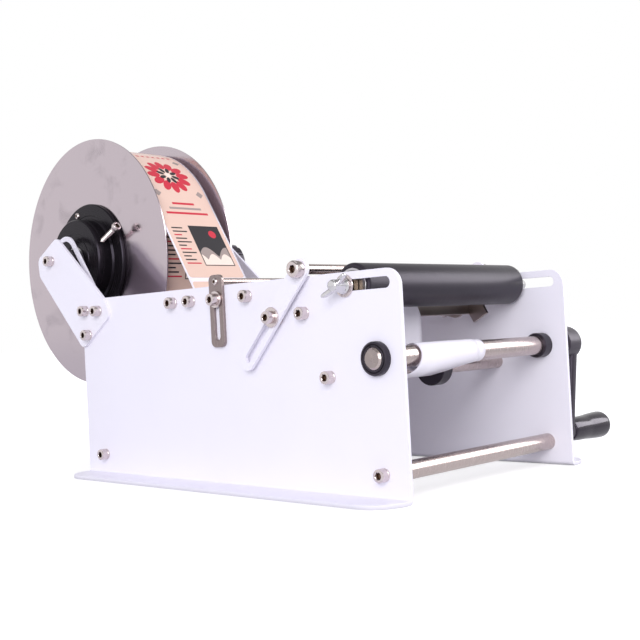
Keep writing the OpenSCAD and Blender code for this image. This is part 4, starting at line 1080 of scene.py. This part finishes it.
class LABELER_OT_labels(bpy.types.Operator):
    """Winds the printed label web on its roll and leads it to the peel plate"""
    bl_idname = "labeler.labels"
    bl_label = "Label web and roll"

    def execute(self, context):
        sizes = context.scene.labeler_sizes
        centre = side_view("label_roll")
        radius = radius_of("label_roll")
        edges = across_of("label_roll")
        margin = sizes.label_margin / MM
        lane = (edges[0] + margin, edges[1] - margin)
        pitch = math.tau * radius / sizes.labels_per_turn
        label = pitch - sizes.label_gap / MM
        foot = sizes.label_foot / MM
        web, start_angle, leave = self.web_path(centre, radius, label - foot + sizes.label_gap / MM / 2)
        bm = bmesh.new()
        self.ribbon(bm, web, edges)
        made = piece("label_liner", bm, "frame", ["liner"], ["label_web"])
        thicken(made, sizes.paper, -1.0)
        bm = bmesh.new()
        for i in range(2):
            print_label(bm, web, leave + foot - label + pitch * i, label, lane)
        piece("printed_web_labels", bm, "frame", LABEL_MATERIALS)
        bm = bmesh.new()
        inner = radius_of("label_core")
        width = edges[1] - edges[0]
        start = place(edges[0], *centre)
        turn(bm, [(inner, 0.3), (inner, 0), (radius - 0.5, 0), (radius, 0.3)], along_x(start), 128,
             material=1)
        turn(bm, [(radius, 0.3), (radius, width - 0.3)], along_x(start), 128)
        turn(bm, [(radius, width - 0.3), (radius - 0.5, width), (inner, width), (inner, width - 0.3),
                  (inner, 0.3)], along_x(start), 128, material=1)
        bmesh.ops.remove_doubles(bm, verts=bm.verts, dist=1e-6)
        piece("wound_label_roll", bm, "reel", ["liner", "edge"], ["label_roll"])
        bm = bmesh.new()
        drum = Drum(centre, radius, math.radians(start_angle))
        for i in range(sizes.labels_per_turn):
            print_label(bm, drum, pitch * i + sizes.label_gap / MM / 2, label, lane)
        piece("printed_roll_labels", bm, "reel", LABEL_MATERIALS)
        dress("board", "label_core")
        return {"FINISHED"}

    def web_path(self, reel, radius, held):
        """The web from its held length on the roll through the feed rods and over the table to the nose.
        Also gives its first angle on the roll and the run at which it leaves."""
        feed = [middle(b) for b in solids("feed_rods")]
        table = [middle(b) for b in solids("table_rods")]
        web, sag, sag_behind, hold_steps = 0.5, 20.0, 5.7, 24
        rod_r, nose_r = ROD_R + PAPER_GAP + web / 2, NOSE_R + PAPER_GAP + web / 2
        roll_r = radius + PAPER_GAP + web / 2
        sag_at = (feed[1][0] + sag_behind, feed[1][1] - rod_r + sag)
        span = (sag_at[0] - reel[0], sag_at[1] - reel[1])
        normal = math.degrees(math.atan2(span[1], span[0])
                              - math.acos((roll_r + sag) / math.hypot(*span))) + 360
        first = normal - math.degrees(held / roll_r)
        weave = math.degrees(math.asin(2 * rod_r / (feed[1][0] - feed[0][0])))
        drop = (NOSE[0] - table[1][0], NOSE[1] - table[1][1])
        flat = math.degrees(math.atan2(drop[1], drop[0])
                            + math.asin((rod_r - nose_r) / math.hypot(*drop))) + 270
        end = arc(NOSE, nose_r, flat, flat, 1)[0]
        points = (arc(reel, roll_r, first, normal, hold_steps) + arc(sag_at, sag, 180 + normal, 270, 14)
                  + arc(feed[1], rod_r, 270, 270 - weave, 8) + arc(feed[0], rod_r, 90 - weave, 90, 8)
                  + arc(table[1], rod_r, 90, flat, 4) + [end])
        path = Path(points)
        return path, first, path.runs[hold_steps]

    def ribbon(self, bm, path, edges):
        """The liner as a fine sheet along a path."""
        steps, lanes = math.ceil(path.length / 2.5), 8
        places = [edges[0] + (edges[1] - edges[0]) * k / lanes for k in range(lanes + 1)]
        last = None
        for i in range(steps + 1):
            row = [bm.verts.new(on_path(path, path.length * i / steps, x, 0.0)) for x in places]
            if last:
                for k in range(lanes):
                    bm.faces.new((last[k], last[k + 1], row[k + 1], row[k]))
            last = row


class LABELER_OT_backing(bpy.types.Operator):
    """Leads the spent backing paper from the peel nose to the take-up shaft and winds it up"""
    bl_idname = "labeler.backing"
    bl_label = "Backing paper"

    def execute(self, context):
        sizes = context.scene.labeler_sizes
        edges = across_of("backing_strip")
        shaft = side_view("takeup_shaft")
        guide = side_view("paper_guide_rod")
        lanes = 16
        columns = [self.strip_column(k / lanes, edges, guide, shaft) for k in range(lanes + 1)]
        self.sheet("spent_backing_strip", columns, "frame", "backing_strip", sizes)
        core = []
        around, lanes = 40, 12
        first_r, build, creep_run, creep_left = 8.15, 0.55, 11.5, 8.5
        for k in range(lanes + 1):
            column = []
            for i in range(sizes.wound_turns * around + 1):
                done = i / around
                a = -math.tau * done
                r = first_r + build * done / sizes.wound_turns
                creep = creep_run * done / sizes.wound_turns - creep_left + 0.5 * math.sin(1.9 * done)
                x = edges[0] + creep + (edges[1] - edges[0]) * k / lanes
                column.append(place(x, shaft[0] + r * math.cos(a), shaft[1] + r * math.sin(a)))
            core.append(column)
        self.sheet("wound_spent_paper", core, "crank_shaft", "wound_backing", sizes)
        return {"FINISHED"}

    def strip_column(self, u, edges, guide, shaft):
        """One line along the strip: round the nose, down the lip, behind and under the guide rod, then up and
        about two turns round the shaft, slack at the strip's left edge and tight at its right."""
        strip = 0.4
        nose_r, rod_r = NOSE_R + PAPER_GAP + strip / 2, ROD_R + PAPER_GAP + strip / 2
        lip, lip_run, top = 248.0, 21.0, 91.5
        shift, droop, rise_steps, wind_steps, past_rear = 8, 7.6, 12, 120, 400
        slack = 1 - u
        tight_r = 9.2 + 0.2 * slack
        near_edge = min(1.0, u / 0.2)
        loose = droop * slack ** 1.15 * (0.55 + 0.45 * near_edge * near_edge * (3 - 2 * near_edge))
        wound_r = tight_r + loose
        lip_end = arc(arc(NOSE, nose_r, lip - 90, lip - 90, 1)[0], lip_run, lip, lip, 1)[0]
        drop = (guide[0] - lip_end[0], guide[1] - lip_end[1])
        fall = math.degrees(math.atan2(drop[1], drop[0]) + math.asin(rod_r / math.hypot(*drop))) + 360
        rise = (shaft[0] - guide[0], shaft[1] - guide[1])
        climb = math.degrees(math.atan2(rise[1], rise[0])
                             - math.acos((wound_r - rod_r) / math.hypot(*rise))) + 90
        across = edges[0] + (edges[1] - edges[0]) * u
        side = arc(NOSE, nose_r, top, lip - 90, 10) + [lip_end]
        side += arc(guide, rod_r, fall + 90, climb + 90, 14)
        column = [place(across, y, z) for y, z in side]
        meet = climb + 90
        leave = side[-1]
        land = arc(shaft, wound_r, meet, meet, 1)[0]
        aside = shift + 10 * slack
        for i in range(1, rise_steps):
            t = i / rise_steps
            drift = aside * t * t * (3 - 2 * t)
            column.append(place(across - drift, leave[0] + (land[0] - leave[0]) * t,
                                leave[1] + (land[1] - leave[1]) * t))
        for i in range(wind_steps + 1):
            swept = (meet + past_rear) * i / wind_steps
            angle = math.radians(meet - swept)
            hang = ((1 - math.sin(angle)) / 2) ** 4 * (1 if swept < meet - 90 else 0.6)
            r = tight_r + loose * hang - 0.15 * slack * i / wind_steps
            drift = shift + (aside - shift) * max(0.0, 1 - swept / 100) ** 2 - 1.5 * i / wind_steps
            column.append(place(across - drift, shaft[0] + r * math.cos(angle),
                                shaft[1] + r * math.sin(angle)))
        return column

    def sheet(self, name, columns, body, node, sizes):
        """A sheet of paper through lines of points of equal count."""
        bm = bmesh.new()
        rows = [[bm.verts.new(point) for point in column] for column in columns]
        for a, b in zip(rows, rows[1:]):
            for k in range(len(a) - 1):
                bm.faces.new((a[k], b[k], b[k + 1], a[k + 1]))
        made = piece(name, bm, body, ["liner"], [node], crease=60)
        thicken(made, sizes.paper, 0.0)


class LABELER_OT_stage(bpy.types.Operator):
    """Sets up the camera, the pale floor, the room light and the soft lamps"""
    bl_idname = "labeler.stage"
    bl_label = "Stage"

    def execute(self, context):
        scene = context.scene
        stage = scene.labeler_stage
        scene.view_settings.view_transform = "Standard"
        lens = bpy.data.cameras.new("photo_camera")
        lens.lens = stage.lens
        lens.sensor_width = 36.0
        lens.clip_end = 200.0
        camera = bpy.data.objects.new("photo_camera", lens)
        camera.location = place(*stage.spot)
        camera.rotation_euler = stage.tilt
        scene.collection.objects.link(camera)
        scene.camera = camera
        self.floor(stage)
        self.room(scene, stage)
        target = (CAD_BOX[0] + CAD_BOX[1]) / 2
        for name, spot_at, size, power in (
                ("key_softbox", stage.key_place, stage.key_size, stage.key),
                ("fill_softbox", stage.fill_place, stage.fill_size, stage.fill)):
            lamp = bpy.data.lights.new(name, "AREA")
            lamp.shape = "SQUARE"
            lamp.size = size
            lamp.energy = power
            holder = bpy.data.objects.new(name, lamp)
            holder.location = spot_at
            holder.rotation_euler = (target - Vector(spot_at)).to_track_quat("-Z", "Y").to_euler()
            scene.collection.objects.link(holder)
        return {"FINISHED"}

    def seen(self, tree):
        """The light path, and a node that gives 1 for what camera, gloss and glass see."""
        rays = add(tree, "ShaderNodeLightPath")
        seen = add(tree, "ShaderNodeMath",
                   {0: rays.outputs["Is Camera Ray"], 1: rays.outputs["Is Glossy Ray"]}, operation="ADD")
        seen = add(tree, "ShaderNodeMath", {0: seen.outputs[0], 1: rays.outputs["Is Transmission Ray"]},
                   operation="ADD", use_clamp=True)
        return rays, seen

    def floor(self, stage):
        """A pale floor that reads white and keeps the soft shadow under the feet."""
        photo_right, mirror_glow = (0.707, -0.707, 0.0), 0.35
        near_glow, open_glow, tone, sunk = 0.6, 1.0, 0.6, -0.0002
        made = bpy.data.materials.new("matt_white_floor")
        made.use_nodes = True
        tree = made.node_tree
        tree.nodes.clear()
        rays, seen = self.seen(tree)
        where = add(tree, "ShaderNodeTexCoord").outputs["Object"]
        # In bright metal the floor's glow fades out towards the photo's right.
        aside = add(tree, "ShaderNodeVectorMath", {0: where, 1: photo_right}, operation="DOT_PRODUCT")
        fade = add(tree, "ShaderNodeMapRange", {0: aside.outputs["Value"], 1: 0.25, 2: 0.6, 3: mirror_glow,
                                                4: 0.0})
        # For the camera it rises away from the machine, so that no horizon shows.
        off = add(tree, "ShaderNodeVectorMath", {0: where}, operation="LENGTH")
        bare = add(tree, "ShaderNodeMapRange", {0: off.outputs["Value"], 1: 0.3, 2: 0.7, 3: near_glow,
                                                4: open_glow})
        bright = add(tree, "ShaderNodeMix", {0: rays.outputs["Is Glossy Ray"], 2: bare.outputs[0],
                                             3: fade.outputs[0]}, data_type="FLOAT")
        level = add(tree, "ShaderNodeMath", {0: seen.outputs[0], 1: bright.outputs[0]}, operation="MULTIPLY")
        glow = add(tree, "ShaderNodeEmission", {"Strength": level.outputs[0]})
        matt = add(tree, "ShaderNodeBsdfDiffuse", {"Color": (tone, tone, tone, 1.0)})
        both = add(tree, "ShaderNodeAddShader", {0: glow.outputs[0], 1: matt.outputs[0]})
        add(tree, "ShaderNodeOutputMaterial", {"Surface": both.outputs[0]})
        half = stage.floor
        mesh = bpy.data.meshes.new("studio_floor")
        corners = [(-half, -half, sunk), (half, -half, sunk), (half, half, sunk), (-half, half, sunk)]
        mesh.from_pydata(corners, [], [(0, 1, 2, 3)])
        mesh.materials.append(made)
        ground = bpy.data.objects.new("studio_floor", mesh)
        bpy.context.scene.collection.objects.link(ground)

    def room(self, scene, stage):
        """A white studio wall with a dark band under a bright ceiling, seen by camera, gloss and glass.
        All else gets even, slightly cool light."""
        cool, white = (0.94, 0.94, 1.06, 1.0), (1.0, 1.0, 1.0, 1.0)
        world = scene.world or bpy.data.worlds.new("studio")
        scene.world = world
        world.use_nodes = True
        tree = world.node_tree
        tree.nodes.clear()
        seen = self.seen(tree)[1]
        heading = add(tree, "ShaderNodeTexCoord").outputs["Generated"]
        parts = add(tree, "ShaderNodeSeparateXYZ", {0: heading})
        wall = add(tree, "ShaderNodeMapRange", {0: parts.outputs[2], 1: 0.45, 2: 0.8, 3: 1.0, 4: 0.3})
        top = add(tree, "ShaderNodeMapRange", {0: parts.outputs[2], 1: 0.86, 2: 0.96, 3: 0.0, 4: 1.0})
        shine = add(tree, "ShaderNodeMath", {0: wall.outputs[0], 1: top.outputs[0]}, operation="MAXIMUM")
        level = add(tree, "ShaderNodeMix", {0: seen.outputs[0], 2: stage.room, 3: shine.outputs[0]},
                    data_type="FLOAT")
        tint = add(tree, "ShaderNodeMix", {0: seen.outputs[0], 6: cool, 7: white},
                   data_type="RGBA")
        sky = add(tree, "ShaderNodeBackground", {"Color": tint.outputs[2], "Strength": level.outputs[0]})
        add(tree, "ShaderNodeOutputWorld", {"Surface": sky.outputs[0]})


STEPS = (LABELER_OT_plates, LABELER_OT_rods, LABELER_OT_screws, LABELER_OT_roller, LABELER_OT_crank,
         LABELER_OT_reel, LABELER_OT_labels, LABELER_OT_backing, LABELER_OT_stage)


class LABELER_PT_panel(bpy.types.Panel):
    """Lists the machine's settings and steps"""
    bl_idname = "LABELER_PT_panel"
    bl_label = "Labeling machine"
    bl_space_type = "VIEW_3D"
    bl_region_type = "UI"
    bl_category = "Labeler"

    def draw(self, context):
        for settings in (context.scene.labeler_colours, context.scene.labeler_sizes,
                         context.scene.labeler_stage):
            box = self.layout.box()
            for key in settings.__annotations__:
                box.prop(settings, key)
        for step in STEPS:
            self.layout.operator(step.bl_idname)


CLASSES = (LabelerColours, LabelerSizes, LabelerStage) + STEPS + (LABELER_PT_panel,)


def register():
    """Registers the settings, the steps and the panel."""
    for made in CLASSES:
        bpy.utils.register_class(made)
    bpy.types.Scene.labeler_colours = bpy.props.PointerProperty(type=LabelerColours)
    bpy.types.Scene.labeler_sizes = bpy.props.PointerProperty(type=LabelerSizes)
    bpy.types.Scene.labeler_stage = bpy.props.PointerProperty(type=LabelerStage)


def unregister():
    """Removes what register added."""
    del bpy.types.Scene.labeler_stage
    del bpy.types.Scene.labeler_sizes
    del bpy.types.Scene.labeler_colours
    for made in reversed(CLASSES):
        bpy.utils.unregister_class(made)


def main():
    """Builds the dressed machine."""
    register()
    bpy.ops.labeler.stage()
    bpy.ops.labeler.plates()
    bpy.ops.labeler.rods()
    bpy.ops.labeler.screws()
    bpy.ops.labeler.roller()
    bpy.ops.labeler.crank()
    bpy.ops.labeler.reel()
    bpy.ops.labeler.labels()
    bpy.ops.labeler.backing()
    bpy.context.view_layer.update()


if __name__ == "__main__":
    main()
